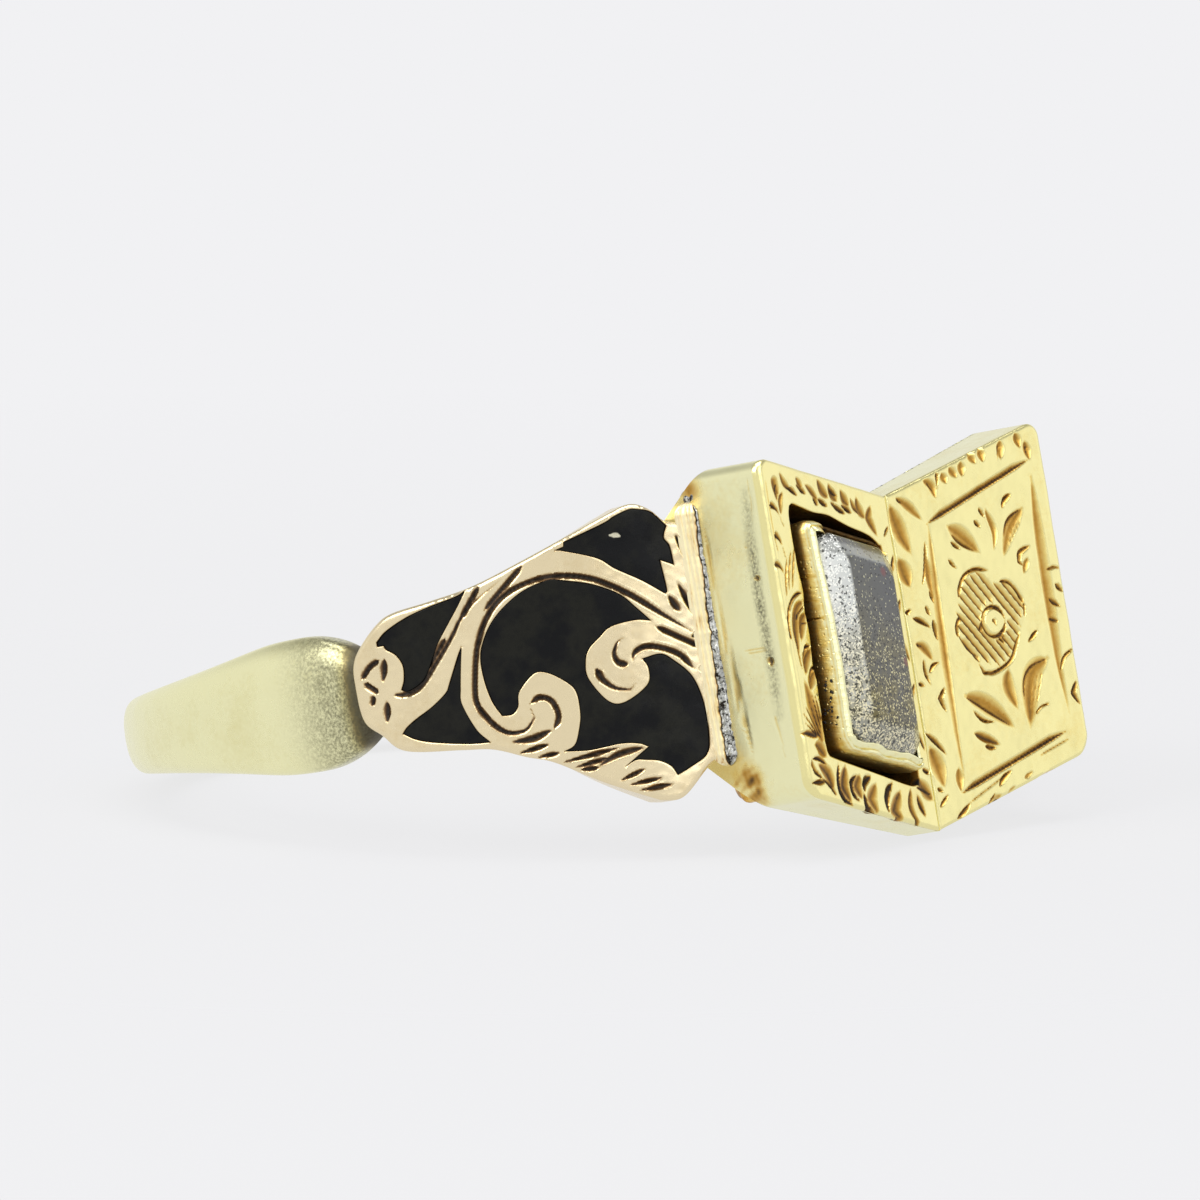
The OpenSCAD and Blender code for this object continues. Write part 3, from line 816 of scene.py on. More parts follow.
# %% Drawings of a shoulder: outline, enamel cells and scroll lines
SHOULDER_EDGE = [
    (-3.76, 2.62), (-3.3, 2.72), (-2.95, 3.05), (-2.55, 3.2), (-2.0, 3.05), (-1.0, 2.7), (0, 2.35),
    (1.2, 1.97), (2.2, 1.8), (3.1, 1.68), (3.5, 1.5), (3.95, 1.1), (4.2, 0.75), (4.27, 0.3), (4.2, -0.55),
    (3.8, -0.95), (3.3, -1.37), (2.0, -1.55), (1.3, -1.65), (0.6, -1.93), (0, -2.15), (-1.0, -2.75),
    (-2.0, -3.25), (-2.3, -3.36), (-2.75, -3.33), (-3.4, -2.78), (-3.76, -2.62)]
CELL_HEAD = [
    (-3.3, 2.6), (-3.0, 2.95), (-2.7, 3.06), (-2.5, 3.08), (-2.15, 2.98), (-1.9, 2.87), (-0.97, 2.6),
    (-0.95, 2.5), (-0.75, 2.45), (-0.95, 2.4), (-1.65, 2.13), (-2.0, 1.85), (-2.55, 1.5), (-3.03, 1.13),
    (-3.08, 1.23), (-3.03, 1.88), (-3.33, 1.73), (-3.3, 2.15), (-3.2, 2.35)]
CELL_TAIL_UPPER = [
    (1.35, 1.9), (1.6, 1.8), (2.25, 1.67), (2.8, 1.52), (3.3, 1.3), (3.55, 1.1), (3.55, 1.0), (3.4, 1.0),
    (3.35, 0.9), (3.15, 0.75), (3.03, 0.5), (3.05, 0.2), (3.15, -0.03), (3.0, -0.07), (2.7, 0.05),
    (2.5, 0.25), (2.15, 0.85), (1.6, 1.55)]
CELL_TAIL_LOWER = [
    (1.63, 0.7), (1.75, 0.5), (2.03, -0.05), (2.15, -0.25), (2.5, -0.5), (2.9, -0.7), (3.15, -0.85),
    (3.28, -0.98), (3.0, -1.15), (2.6, -1.28), (1.85, -1.43), (1.33, -1.48), (1.6, -1.15), (1.83, -0.55),
    (1.8, -0.2), (1.73, 0.2)]
CELL_MAIN = [
    (0.98, -0.95), (1.15, -0.6), (1.25, -0.1), (1.25, 0.4), (1.1, 0.8), (0.85, 1.15), (0.5, 1.45),
    (0.05, 1.7), (-0.5, 1.83), (-0.9, 1.75), (-1.45, 1.58), (-2.0, 1.28), (-2.35, 0.9), (-2.6, 0.6),
    (-2.25, 0.66), (-1.7, 0.6), (-1.4, 0.4), (-1.15, 0.2), (-1.03, -0.05), (-1.03, -0.45), (-1.38, -1.0),
    (-1.75, -1.08), (-2.3, -0.78), (-2.38, -0.43), (-2.28, -0.2), (-2.7, -0.16), (-2.98, -0.35),
    (-3.33, -0.75), (-3.5, -1.35), (-3.5, -2.1), (-3.38, -2.5), (-2.95, -2.73), (-2.65, -2.85),
    (-2.53, -2.63), (-2.3, -2.48), (-2.0, -2.41), (-1.78, -2.38), (-1.53, -2.48), (-2.1, -2.13),
    (-1.9, -2.03), (-1.5, -1.97), (-0.8, -2.0), (-0.25, -1.94), (-0.5, -1.83), (-0.65, -1.5),
    (-0.73, -1.15), (-0.7, -0.65), (-0.4, -0.33), (-0.05, -0.14), (0.2, -0.18), (0.53, -0.5), (0.6, -0.8),
    (0.75, -0.95)]
SHOULDER_CUTS = [
    ("line", 0.16, 0.09, 0, [
        [(-3.5, 0.2), (-2.95, 0.65), (-2.15, 1.3), (-1.4, 1.73), (-0.6, 1.9), (0.1, 1.82), (0.65, 1.57),
        (1.02, 1.17), (1.28, 0.65), (1.42, 0.1), (1.5, -0.55), (1.3, -0.97), (1.05, -1.25), (0.8, -1.36),
        (0.5, -1.33), (0.28, -1.1), (0.33, -0.9)], [(-3.65, -0.15), (-2.7, 0.45)],
        [(-0.1, -1.43), (-0.25, -1.15), (-0.15, -0.8), (0.1, -0.68), (0.33, -0.78)],
        [(-3.4, -0.6), (-3.15, -0.25), (-2.75, -0.03), (-2.4, 0.05), (-2.15, -0.03), (-2.05, -0.2)],
        [(0, 2.25), (1.0, 1.4)], [(1.03, 1.95), (1.55, 1.3)], [(1.95, 0.95), (2.5, 0.3)],
        [(3.55, 0.7), (3.8, 0.6), (4.05, 0.35)], [(3.7, 0), (4.0, 0.25)], [(3.83, -0.05), (3.9, -0.25)]]),
    ("wedge", 0.19, 0.1, 0, [
        [(0.2, 2.2), (1.35, 1.5), (1.85, 0.9), (2.25, 0.45), (2.7, 0), (3.1, -0.13), (3.35, -0.1)],
        [(-2.03, 0.35), (-1.8, 0.25), (-1.68, 0), (-1.75, -0.2), (-1.95, -0.28)],
        [(-2.13, -0.65), (-1.9, -0.83), (-1.6, -0.75), (-1.35, -0.53), (-1.23, -0.25)]]),
    ("leaf", 0.2, 0.1, 0, [
        [(3.43, 0.72), (3.55, 0.2)], [(3.53, -0.22), (3.6, -0.7)],
        [(-0.05, -1.43), (0.4, -1.55), (0.9, -1.55)], [(-2.0, -2.13), (-1.4, -2.2), (-0.9, -2.4)],
        [(-3.75, 1.73), (-3.45, 2.4)], [(-3.68, 0.5), (-3.33, 1.35)], [(-3.3, 0.7), (-3.08, 1.1)]]),
    ("leaf", 0.14, 0.09, 0, [
        [(0.05, -1.73), (0.78, -1.83)], [(-0.15, -1.95), (0.4, -1.98)], [(-1.45, -2.05), (-0.1, -2.18)],
        [(-1.2, -2.23), (-0.4, -2.33)], [(-0.95, -2.41), (-0.5, -2.4)], [(-1.95, -2.6), (-1.33, -2.78)],
        [(-2.3, -2.85), (-1.5, -2.9)], [(-2.5, -3.03), (-1.7, -3.05)], [(-3.7, 0.15), (-3.45, 0.1)],
        [(-3.7, -0.65), (-3.5, -0.62)]]),
]
print("shoulder:", sum(len(lines) for *_, lines in SHOULDER_CUTS), "cuts")

# %% [markdown]
# ## The book head
# The head is two thick gold pages that meet in a shallow V. Each page is a plate whose back follows
# the finger hole and tapers in behind the slanted ends. The left page has the window of the
# compartment cut into it, and both faces carry their engraving as real relief.

# %% Outlines of the pages
CORNER_R = 0.45
WINDOW_EDGE = [
    (0.5, 1.3), (0.62, 1.48), (1.0, 1.72), (1.8, 1.98), (2.5, 2.26), (3.1, 2.37), (3.6, 2.53), (3.9, 2.62),
    (4.04, 2.58), (4.1, 2.4), (4.12, 2.0), (4.1, 1.2), (4.03, 0.7), (4.1, 0.3), (4.06, -0.3), (4.12, -0.9),
    (4.08, -1.3), (4.12, -2.0), (4.13, -2.7), (4.08, -2.92), (3.9, -3.02), (2.9, -3.32), (1.9, -3.62),
    (0.95, -3.9), (0.62, -3.92), (0.52, -3.78), (0.5, -2.0), (0.5, 0)]


def page_outline(step=0.035):
    """A page's slanted outline, with its outer corners rounded."""
    top, low = PAGE_H / 2, -PAGE_H / 2
    upper = [(PAGE_W - CORNER_R + CORNER_R * math.sin(t * math.pi / 2),
              top - CORNER_R * (1 - math.cos(t * math.pi / 2)) * 0.9) for t in np.linspace(0, 1, 9)]
    lower = [(p, -a) for p, a in upper]
    loop = np.array([(0.0, low)] + lower + upper[::-1] + [(0.0, top)])
    loop[:, 1] += slant(loop[:, 0])
    return closed_line(loop, step)


def page_edge_r(loop):
    """Rounding of a page's edge: soft at the outer side, small at the ends and at the fold."""
    p = loop[:, 0]
    outer = np.clip((p - (PAGE_W - 0.35)) / 0.3, 0, 1)
    return 0.09 + 0.09 * outer - 0.03 * (p < 0.05)


def page_back(side):
    """A page's back: the finger hole, or the taper behind its slanted ends."""
    def back(xy):
        p, a = xy.T
        x = p * math.cos(PAGE_LEAN)
        level = a - slant(p)
        inside_end = (PAGE_H / 2 - np.abs(level)) * math.cos(math.atan2(FOLD_DROP, BOOK_HALF))
        out = np.maximum(np.sqrt(FINGER_R**2 - x**2), BACK_EDGE_R - inside_end / math.tan(BACK_TAPER))
        return np.stack((side * x, out, a), axis=1)
    return back


def page_face(side, cuts, hatch=False):
    """A page's engraved face."""
    def face(xy, drop):
        depth, shade = carve(xy, cuts + (flower_cuts() if hatch else []))
        h = 0.008 * ripple(xy, 1.5, 11 + side) + 0.003 * ripple(xy, 0.4, 17 + side) - depth - drop
        return on_page(side, xy[:, 0], xy[:, 1], h), {"cut": shade * (RIGHT_CUT_SHADE if hatch else 1)}
    return face


def flower_cuts():
    """Hatching of the petals, kept off the flower's eye, and the ring round the eye."""
    petals = np.array(PETALS)
    lines = []
    for start in np.arange(-3.0, 6.5, HATCH_STEP * math.hypot(1, HATCH_SLOPE)):
        t = np.linspace(1.3, 3.9, 160)
        line = np.stack((t, start + HATCH_SLOPE * (t - 1.3)), axis=1)
        eye = np.hypot(line[:, 0] - FLOWER_EYE[0], line[:, 1] - FLOWER_EYE[1]) < FLOWER_EYE_R + 0.05
        keep = inside(line, petals) & ~eye
        for run in np.split(np.arange(len(t)), np.nonzero(np.diff(keep.astype(int)))[0] + 1):
            if keep[run[0]] and len(run) > 6:
                lines.append([tuple(line[run[0]]), tuple(line[run[-1]])])
    turns = np.linspace(0, 2 * np.pi, 13)
    ring = [(FLOWER_EYE[0] + FLOWER_EYE_R * math.cos(t), FLOWER_EYE[1] + FLOWER_EYE_R * math.sin(t))
            for t in turns]
    return [("line", 0.16, 0.045, 0.7, lines), ("line", 0.12, 0.07, 0.3, [ring])]


print("page outline has", len(page_outline()), "points")

# %% Marks of wear on the side wall of the left page
WALL_CUTS = [
    ("line", 0.07, 0.013, 0.3, [
        [(9.16, 2.4), (9.2, 0.6)], [(9.2, 1.0), (9.26, -0.6), (9.34, -2.2)],
        [(9.3, 0.3), (9.36, -1.2), (9.46, -2.6)], [(9.4, -0.9), (9.5, -2.7)]]),
    ("line", 0.05, 0.012, 0, [
        [(9.7, -0.42), (10.0, -0.4), (10.4, -0.42)], [(9.85, -0.47), (10.4, -0.46)],
        [(10.2, 1.85), (10.3, 1.83)], [(10.62, 3.3), (10.6, 2.0)], [(10.3, -1.9), (10.42, -2.9)]]),
    ("leaf", 0.15, 0.07, 0, [[(10.4, -0.62), (10.46, -0.84)], [(10.42, 1.18), (10.44, 1.06)]]),
]
SMEAR = [(10.5, 3.0), (10.44, 2.1), (10.4, 0.9), (10.42, -0.2), (10.44, -1.0), (10.42, -1.9)]
SMEAR_W = 0.42


def blot(out_along, middle, reach, power):
    """A soft blot, 1 in its middle, over points on the wall."""
    return np.exp(-(((out_along - middle) / reach) ** 2).sum(axis=1) ** power)


def side_marks(points):
    """Dents, a grey smear and heat stains on the wall that faces away from the fold."""
    out_along = points[:, 1:]
    on_wall = np.clip((np.abs(points[:, 0]) - 4.6) / 0.3, 0, 1)
    depth, shade = carve(out_along, WALL_CUTS, 0.002)
    far, share, _ = to_path(out_along, smooth(SMEAR, 0.1))
    grey = 1.1 * np.clip(1 - far / (0.5 * SMEAR_W), 0, 1) * np.sin(np.pi * np.clip(share, 0.03, 0.97)) ** 0.5
    grey *= np.clip(0.9 + 0.4 * ripple(out_along, 0.7, 25), 0, 1)
    seam = np.exp(-np.clip(points[:, 1] - 9.1, 0, 9) / 0.06) * 0.08
    burnt = blot(out_along, (9.2, -3.4), (0.45, 0.65), 2)
    burnt *= np.clip(0.36 + 0.3 * ripple(out_along, 0.8, 27) + 0.22 * ripple(out_along, 0.25, 28), 0.1, 0.9)
    topmost = 0.5 * blot(out_along, (8.9, 3.3), (0.3, 0.3), 1)
    stain = np.maximum.reduce([shade, seam, burnt, topmost]) * on_wall
    moved = points.copy()
    moved[:, 0] += (depth + 0.006 * ripple(out_along, 1.1, 23)) * on_wall
    return moved, {"cut": stain, "grey": grey * on_wall}


print("wall cuts:", sum(len(lines) for *_, lines in WALL_CUTS))

# %% Make the two pages
PAGE_STEP = 0.035
WINDOW_DEEP = 1.0


def make_page(name, side, cuts, holes, rows, marks=None, hatch=False):
    flat = sheet(page_outline(), holes, PAGE_STEP, page_edge_r, 0.03)
    points, faces, values = plate(flat, page_face(side, cuts, hatch), page_back(side),
                                  level_at(on_page, side, -WINDOW_DEEP), rows, marks)
    return new_piece(name, points, faces, values, head_gold)


window_line = smooth(WINDOW_EDGE, PAGE_STEP, closed=True)
page_left = make_page("page_left", LEFT, LEFT_CUTS, [window_line], 60, side_marks)
page_right = make_page("page_right", RIGHT, RIGHT_CUTS, [], 10, hatch=True)

# %% [markdown]
# ## Shoulders and enamel
# Each shoulder is a curved plate of rosy gold with four hollow cells, and black enamel fills them
# nearly flush: this is champleve work. The far shoulder is not seen in the photograph and is made
# as the near one's mirror image.

# %% Make the shoulders and their enamel
CELL_DEPTH = 0.4
TUCK_FROM, TUCK = 3.2, 0.06
cells = {"head": CELL_HEAD, "tail_upper": CELL_TAIL_UPPER, "tail_lower": CELL_TAIL_LOWER, "main": CELL_MAIN}
cell_lines = {key: smooth(cell, 0.03, closed=True) for key, cell in cells.items()}


def shoulder_back(side):
    """A shoulder's back: the finger hole, drawn in a little at the tail."""
    def back(xy):
        s, a = xy.T
        tuck = TUCK * np.clip((s - TUCK_FROM) / 0.3, 0, 1)
        return on_shoulder(side, s, a, FINGER_R - SHOULDER_R + tuck)
    return back


def shoulder_face(side):
    """A shoulder's engraved face."""
    def face(xy, drop):
        depth, shade = carve(xy, SHOULDER_CUTS)
        h = 0.01 * ripple(xy, 1.3, 31) + 0.003 * ripple(xy, 0.35, 37) - depth - drop
        return on_shoulder(side, xy[:, 0], xy[:, 1], h), {"cut": shade}
    return face


def make_shoulder(name, side):
    flat = sheet(smooth(SHOULDER_EDGE, 0.035, closed=True), list(cell_lines.values()), 0.035, 0.11, 0.02)
    points, faces, values = plate(flat, shoulder_face(side), shoulder_back(side),
                                  level_at(on_shoulder, side, -CELL_DEPTH))
    return new_piece(name, points, faces, values, rose_gold)


shoulder_left = make_shoulder("shoulder_left", LEFT)
shoulder_right = make_shoulder("shoulder_right", RIGHT)

# %% Black enamel
ENAMEL_GAP = 0.004
# A small dent in the enamel, with a painted highlight on it.
CHIP_GLINTS = [("leaf", 0.16, 0.06, 0, [[(-2.26, 2.54), (-1.98, 2.6)]])]
ENAMEL_NODES = {"head": 1, "tail_upper": 2, "tail_lower": 3, "main": 4}


def enamel_material():
    material, tree, shader, where = start_material("black enamel")
    colour = ramp(tree, noise(tree, where, 0.9, 4, 0.6), [
        (0.0, srgb(4, 5, 9)), (0.42, srgb(6, 7, 9)), (0.58, srgb(22, 22, 17)), (0.72, srgb(8, 9, 9)),
        (1.0, srgb(34, 33, 24))])
    # A pale painted highlight on the dent.
    chip_glint_share = ramp(tree, value_of(tree, "cut"), [(0.3, 0.0), (0.6, 1.0)])
    fill(tree, shader, {
        "Base Color": mix(tree, chip_glint_share, colour, srgb(190, 186, 164)),
        "Roughness": ramp(tree, noise(tree, where, 0.5, 6, 0.65), [(0.3, 0.14), (0.7, 0.4)]),
        "Specular IOR Level": 0.16})
    bump(tree, shader, noise(tree, where, 0.6, 6, 0.55), 0.01)
    return material


black_enamel = enamel_material()


def make_enamel(side, key, number):
    name = "left" if side == LEFT else "right"
    line = counter_clockwise(cell_lines[key])
    drawn_in = line + inward(line) * ENAMEL_GAP
    line = drawn_in[nearest(drawn_in, line)[0] > ENAMEL_GAP * 0.97]

    def top(xy, drop):
        dent, chip_glint = carve(xy, CHIP_GLINTS, 0)
        h = -0.03 + 0.01 * ripple(xy, 1.1, 41 + number) - drop * 0.5 - dent * 0.3
        return on_shoulder(side, xy[:, 0], xy[:, 1], h), {"cut": chip_glint}

    points, faces, values = plate(sheet(line, step=0.06, edge_r=0.03), top,
                                  level_at(on_shoulder, side, 0.01 - CELL_DEPTH), rows=2)
    piece = new_piece(f"enamel_panel_{name}_{key}", points, faces, values, black_enamel)
    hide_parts(f"enamel_{name}_{number}")


for side in (LEFT, RIGHT):
    for key, number in ENAMEL_NODES.items():
        make_enamel(side, key, number)

# %% [markdown]
# ## The band
# The band is one rule followed round the finger: a rounded section that is widest by the shoulders,
# narrowest at the back, and closes in a rounded knuckle at each end. Geometry Nodes can follow such
# a rule, so a flat grid is bent into the band by a tree with named sizes.

# %% The band's node tree
BAND_SIZES = {
    "Inner radius": FINGER_R, "Outer radius": BAND_R, "Back half width": 0.85, "Front half width": 1.5,
    "Start angle": math.radians(-17), "Sweep": math.radians(214), "Dome": 0.1, "Knuckle": 0.5,
    "Shoulder": 2.1, "Swell": 0.03, "Squareness": 3.6, "Taper": 2.5}
BAND_STAINS = {"cut": (0.8, 5.0), "grey": (2.0, 4.0)}
STAIN_MOST = 0.85


def start_tree(name, sizes):
    """A new Geometry Nodes tree with named inputs, and what each of them gives."""
    tree = bpy.data.node_groups.new(name, "GeometryNodeTree")
    tree.interface.new_socket("Geometry", in_out="INPUT", socket_type="NodeSocketGeometry")
    for key in sizes:
        kind = "NodeSocketInt" if key == "Seed" else "NodeSocketFloat"
        tree.interface.new_socket(key, in_out="INPUT", socket_type=kind)
    tree.interface.new_socket("Geometry", in_out="OUTPUT", socket_type="NodeSocketGeometry")
    return tree, {socket.name: Number(tree, socket) for socket in node(tree, "NodeGroupInput").outputs}


def end_tree(tree, shape, material):
    """Makes all copies real, gives them their finish and hands them out of the tree."""
    real = node(tree, "GeometryNodeRealizeInstances", {"Geometry": shape})
    coated = node(tree, "GeometryNodeSetMaterial", {"Geometry": real.outputs[0], "Material": material})
    tree.links.new(coated.outputs[0], node(tree, "NodeGroupOutput").inputs[0])
    return tree


def band_tree(material):
    """A grid bent round the finger: u runs along the band, around runs about its section."""
    tree, size = start_tree("band along the finger", BAND_SIZES)
    grid = node(tree, "GeometryNodeMeshGrid", {
        "Size X": 1.0, "Size Y": 1.0, "Vertices X": 361, "Vertices Y": 57})
    split = node(tree, "ShaderNodeSeparateXYZ", {0: node(tree, "GeometryNodeInputPosition").outputs[0]})
    u, around = Number(tree, split.outputs[0]) + 0.5, (Number(tree, split.outputs[1]) + 0.5) * (2 * math.pi)
    angle = size["Start angle"] + u * size["Sweep"]
    cosine, sine = maths(tree, "COSINE", angle), maths(tree, "SINE", angle)
    waves = [maths(tree, "COSINE", around), maths(tree, "SINE", around)]
    radial, axial = [maths(tree, "ABSOLUTE", wave) ** (2.0 / size["Squareness"]) * maths(tree, "SIGN", wave)
                     for wave in waves]
    from_end = maths(tree, "MINIMUM", u, 1.0 - u) * (size["Sweep"] * size["Outer radius"])
    closing, narrowing = [
        maths(tree, "SQRT", 1.0 - (1.0 - maths(tree, "MINIMUM", from_end / size[key], 1.0)) ** 2.0)
        for key in ("Knuckle", "Shoulder")]
    share = maths(tree, "SMOOTH_MIN", (1.0 - sine) ** size["Taper"], 1.0, 0.25)
    width = size["Back half width"] + (size["Front half width"] - size["Back half width"]) * share
    outer = size["Outer radius"] + size["Swell"] * 2.718 ** (from_end * -0.9)
    half = (outer - size["Inner radius"]) / 2.0
    dome = size["Dome"] * maths(tree, "MAXIMUM", radial, 0.0) * axial ** 2.0
    r = size["Inner radius"] + half + (half * radial * closing - dome)
    place = node(tree, "ShaderNodeCombineXYZ", {0: r * cosine, 1: r * sine, 2: width * narrowing * axial})
    shape = grid.outputs[0]
    for name, (reach, power) in BAND_STAINS.items():
        stain = STAIN_MOST * math.e ** (-1.0 * (from_end / reach) ** power)
        stained = node(tree, "GeometryNodeStoreNamedAttribute", {
            "Geometry": shape, "Name": name, "Value": stain}, data_type="FLOAT", domain="POINT")
        shape = stained.outputs[0]
    moved = node(tree, "GeometryNodeSetPosition", {"Geometry": shape, "Position": place.outputs[0]})
    merged = node(tree, "GeometryNodeMergeByDistance", {"Geometry": moved.outputs[0], "Distance": 1e-5})
    return end_tree(tree, merged.outputs[0], material)


def grow(tree, sizes, base=None):
    """The plain mesh that a tree makes from its sizes."""
    holder = show("grow", base or bpy.data.meshes.new("grow"))
    modifier = holder.modifiers.new("grow", "NODES")
    modifier.node_group = tree
    for item in tree.interface.items_tree:
        if item.in_out == "INPUT" and item.name in sizes:
            modifier[item.identifier] = sizes[item.name]
    deps = bpy.context.evaluated_depsgraph_get()
    mesh = bpy.data.meshes.new_from_object(holder.evaluated_get(deps))
    bpy.data.objects.remove(holder)
    return mesh


band_mesh = grow(band_tree(band_gold), BAND_SIZES)
points, faces = read_mesh(band_mesh)
points[:, 1] *= -1
stains = {key: [d.value for d in band_mesh.attributes[key].data] for key in BAND_STAINS}
band = new_piece("band", lay_down(points), faces, stains, band_gold)

# %% [markdown]
# ## Setting, backing and crystal
# Inside the window a thin gold wall holds a bevelled crystal over a speckled grey backing. The wall
# is a profile carried round a slanted rectangle, and its rim is left ragged, as if pushed down by
# hand. The crystal is a closed block with a flat table and sloping facets, softened at its edges.

# %% The setting
SETTING_IN, SETTING_W, SETTING_H, SETTING_R = 0.62, 3.16, 5.12, 0.32
SETTING_STEP = 0.03
SETTING_FOOT = -0.97
WALL_PROFILE = [
    (0, SETTING_FOOT), (0, -0.5), (-0.03, -0.2), (-0.05, 0), (-0.03, 0.15), (-0.01, 0.25), (0.02, 0.3),
    (0.045, 0.335), (0.07, 0.33), (0.09, 0.295), (0.11, 0.31), (0.15, 0.35), (0.2, 0.385), (0.225, 0.38),
    (0.215, 0.33), (0.2, 0.28), (0.2, 0.1), (0.19, -0.3), (0.18, SETTING_FOOT)]


def slanted_rectangle(p0, width, height, corner, step):
    """A rounded rectangle on a page, slanted with the page's ends."""
    low, high, end = -height / 2 + corner, height / 2 - corner, p0 + width - corner
    loop = []
    for quarter, (cx, cy) in enumerate(((end, high), (p0 + corner, high), (p0 + corner, low), (end, low))):
        for t in np.linspace(0, math.pi / 2, 7) + quarter * math.pi / 2:
            loop.append((cx + corner * math.cos(t), cy + corner * math.sin(t)))
    loop = np.array(loop)
    loop[:, 1] += slant(loop[:, 0])
    return closed_line(loop, step)


def setting_material():
    """Gold with a bright rim, dark streaks and small pits, and painted shade low on the wall and at its top
    end.
    """
    material, tree, shader, where = start_material("setting gold")
    # Dark low on the wall is painted shade in the window well; the pale band near the top is the rubbed rim,
    # with a thin darker line in it.
    dirt_and_shade = ramp(tree, value_of(tree, "rise"), [
        (0.0, 1.0), (0.32, 0.9), (0.4, 0.46), (0.6, 0.34), (0.9, 0.3), (0.94, 0.1), (0.955, 0.32),
        (0.985, 0.0)])
    dirt_and_shade = (noise(tree, where, 0.3, 6, 0.75, (1, 1, 2.5)) - 0.5) * 0.8 + dirt_and_shade
    fill(tree, shader, {
        "Base Color": ramp(tree, dirt_and_shade, [(0.0, GOLD_PALE), (0.25, GOLD_WARM), (0.45, srgb(214, 180, 88)),
                                        (0.7, srgb(146, 106, 42)), (1.0, CUT_BLACK)]),
        "Roughness": ramp(tree, dirt_and_shade, [(0.1, 0.28), (0.7, 0.42), (1.0, 0.65)]),
        "Metallic": 1.0})
    pits = node(tree, "ShaderNodeTexVoronoi", {"Vector": where, "Scale": 9000.0}).outputs["Distance"]
    bump(tree, shader, ramp(tree, pits, [(0.12, 0.0), (0.25, 1.0)]), 0.008)
    bump(tree, shader, noise(tree, where, 0.9, 4, 0.6, (1, 1, 14)), 0.01)
    return material


def make_setting():
    path = counter_clockwise(slanted_rectangle(SETTING_IN, SETTING_W, SETTING_H, SETTING_R, SETTING_STEP))
    square = inward(path)
    count = len(path)
    line = np.stack((np.arange(count) * SETTING_STEP, np.zeros(count)), axis=1)
    level = path[:, 1] - slant(path[:, 0])
    from_outer = SETTING_IN + SETTING_W - path[:, 0]
    top_end = np.clip((level - 2.35) / 0.1, 0, 1) * np.clip((from_outer - 0.35) / 0.5, 0, 1)
    lowered = 0.24 * top_end + 0.12 * np.clip((from_outer - SETTING_W + 0.1) / 0.1, 0, 1)
    lowered += 0.13 * np.clip((level - 0.4) / 1.9, 0, 1) * np.clip((0.5 - from_outer) / 0.3, 0, 1)
    streaks = np.clip(2.4 * ripple(line, 0.2, 63) - 0.7, 0, 1)
    streaks *= np.clip(1.4 - np.abs(level - 0.5), 0, 1) * (from_outer < 0.1)
    rag = ripple(line, 1.3, 61) * 0.016 + ripple(line, 0.35, 67) * 0.003
    rag += np.clip(-(level + 2.3) / 0.15, 0, 1) * ripple(line, 0.7, 69) * 0.03
    points, rise, faces = [], [], []
    for inset, height in WALL_PROFILE:
        share = max(0.0, min(1.0, (height + 0.05) / 0.3))
        # Painted shade: the wall is darker low down and at its top end.
        lit_share = max(0.0, min(1.0, (height - SETTING_FOOT) / 1.31)) * (1 - 0.75 * top_end)
        rise.append(lit_share - 0.55 * streaks * (height < 0.29))
        ring = path + square * (inset + rag * 0.9 * share * (0.3 if inset < 0.05 else 1))[:, None]
        points.append(on_page(LEFT, ring[:, 0], ring[:, 1], height + (rag * 1.2 - lowered) * share))
    for k in range(len(WALL_PROFILE)):
        faces += quads(k * count + np.arange(count), (k + 1) % len(WALL_PROFILE) * count + np.arange(count))
    piece = new_piece("setting_wall", lay_down(np.vstack(points)), faces, {"rise": np.concatenate(rise)},
                      setting_material())
    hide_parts("setting")


make_setting()

# %% The backing
CRYSTAL_IN, CRYSTAL_W, CRYSTAL_H, CRYSTAL_CUT = 0.84, 2.72, 4.68, 0.35
BACKING_TOP, BACKING_BACK = -0.68, -0.79


def backing_material():
    material, tree, shader, where = start_material("speckled backing")
    cloud, fleck = noise(tree, where, 0.9, 4), noise(tree, where, 0.05, 4, 0.8)
    base = ramp(tree, cloud, [(0.3, srgb(96, 96, 92)), (0.5, srgb(120, 116, 96)), (0.7, srgb(140, 138, 130))])
    colour = mix(tree, ramp(tree, fleck, [(0.38, 1.0), (0.5, 0.0)]), base, srgb(40, 36, 28))
    colour = mix(tree, ramp(tree, fleck, [(0.58, 0.0), (0.66, 1.0)]), colour, srgb(225, 225, 222))
    fill(tree, shader, {"Base Color": colour, "Metallic": 0.6, "Roughness": 0.4})
    bump(tree, shader, fleck, 0.02)
    return material


def cut_rectangle(inset):
    """The crystal's outline with cut corners, drawn in by a distance."""
    p0, p1 = CRYSTAL_IN + inset, CRYSTAL_IN + CRYSTAL_W - inset
    low, high = -CRYSTAL_H / 2 + inset, CRYSTAL_H / 2 - inset
    c = CRYSTAL_CUT - inset * 0.2
    loop = np.array([(p0 + c, low), (p1 - c, low), (p1, low + c), (p1, high - c),
                     (p1 - c, high), (p0 + c, high), (p0, high - c), (p0, low + c)])
    loop[:, 1] += slant(loop[:, 0])
    return loop


def make_backing():
    outline = cut_rectangle(0.01)
    flat = sheet(resample(np.vstack((outline, outline[:1])), 0.08)[:-1], step=0.07, edge_r=0.02)

    def top(xy, drop):
        h = BACKING_TOP + 0.012 * ripple(xy, 0.5, 71) + 0.006 * ripple(xy, 0.15, 73) - drop
        return on_page(LEFT, xy[:, 0], xy[:, 1], h), {}

    points, faces, values = plate(flat, top, level_at(on_page, LEFT, BACKING_BACK), rows=1)
    piece = new_piece("backing_sheet", points, faces, values, backing_material())
    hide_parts("compartment_backing")


make_backing()

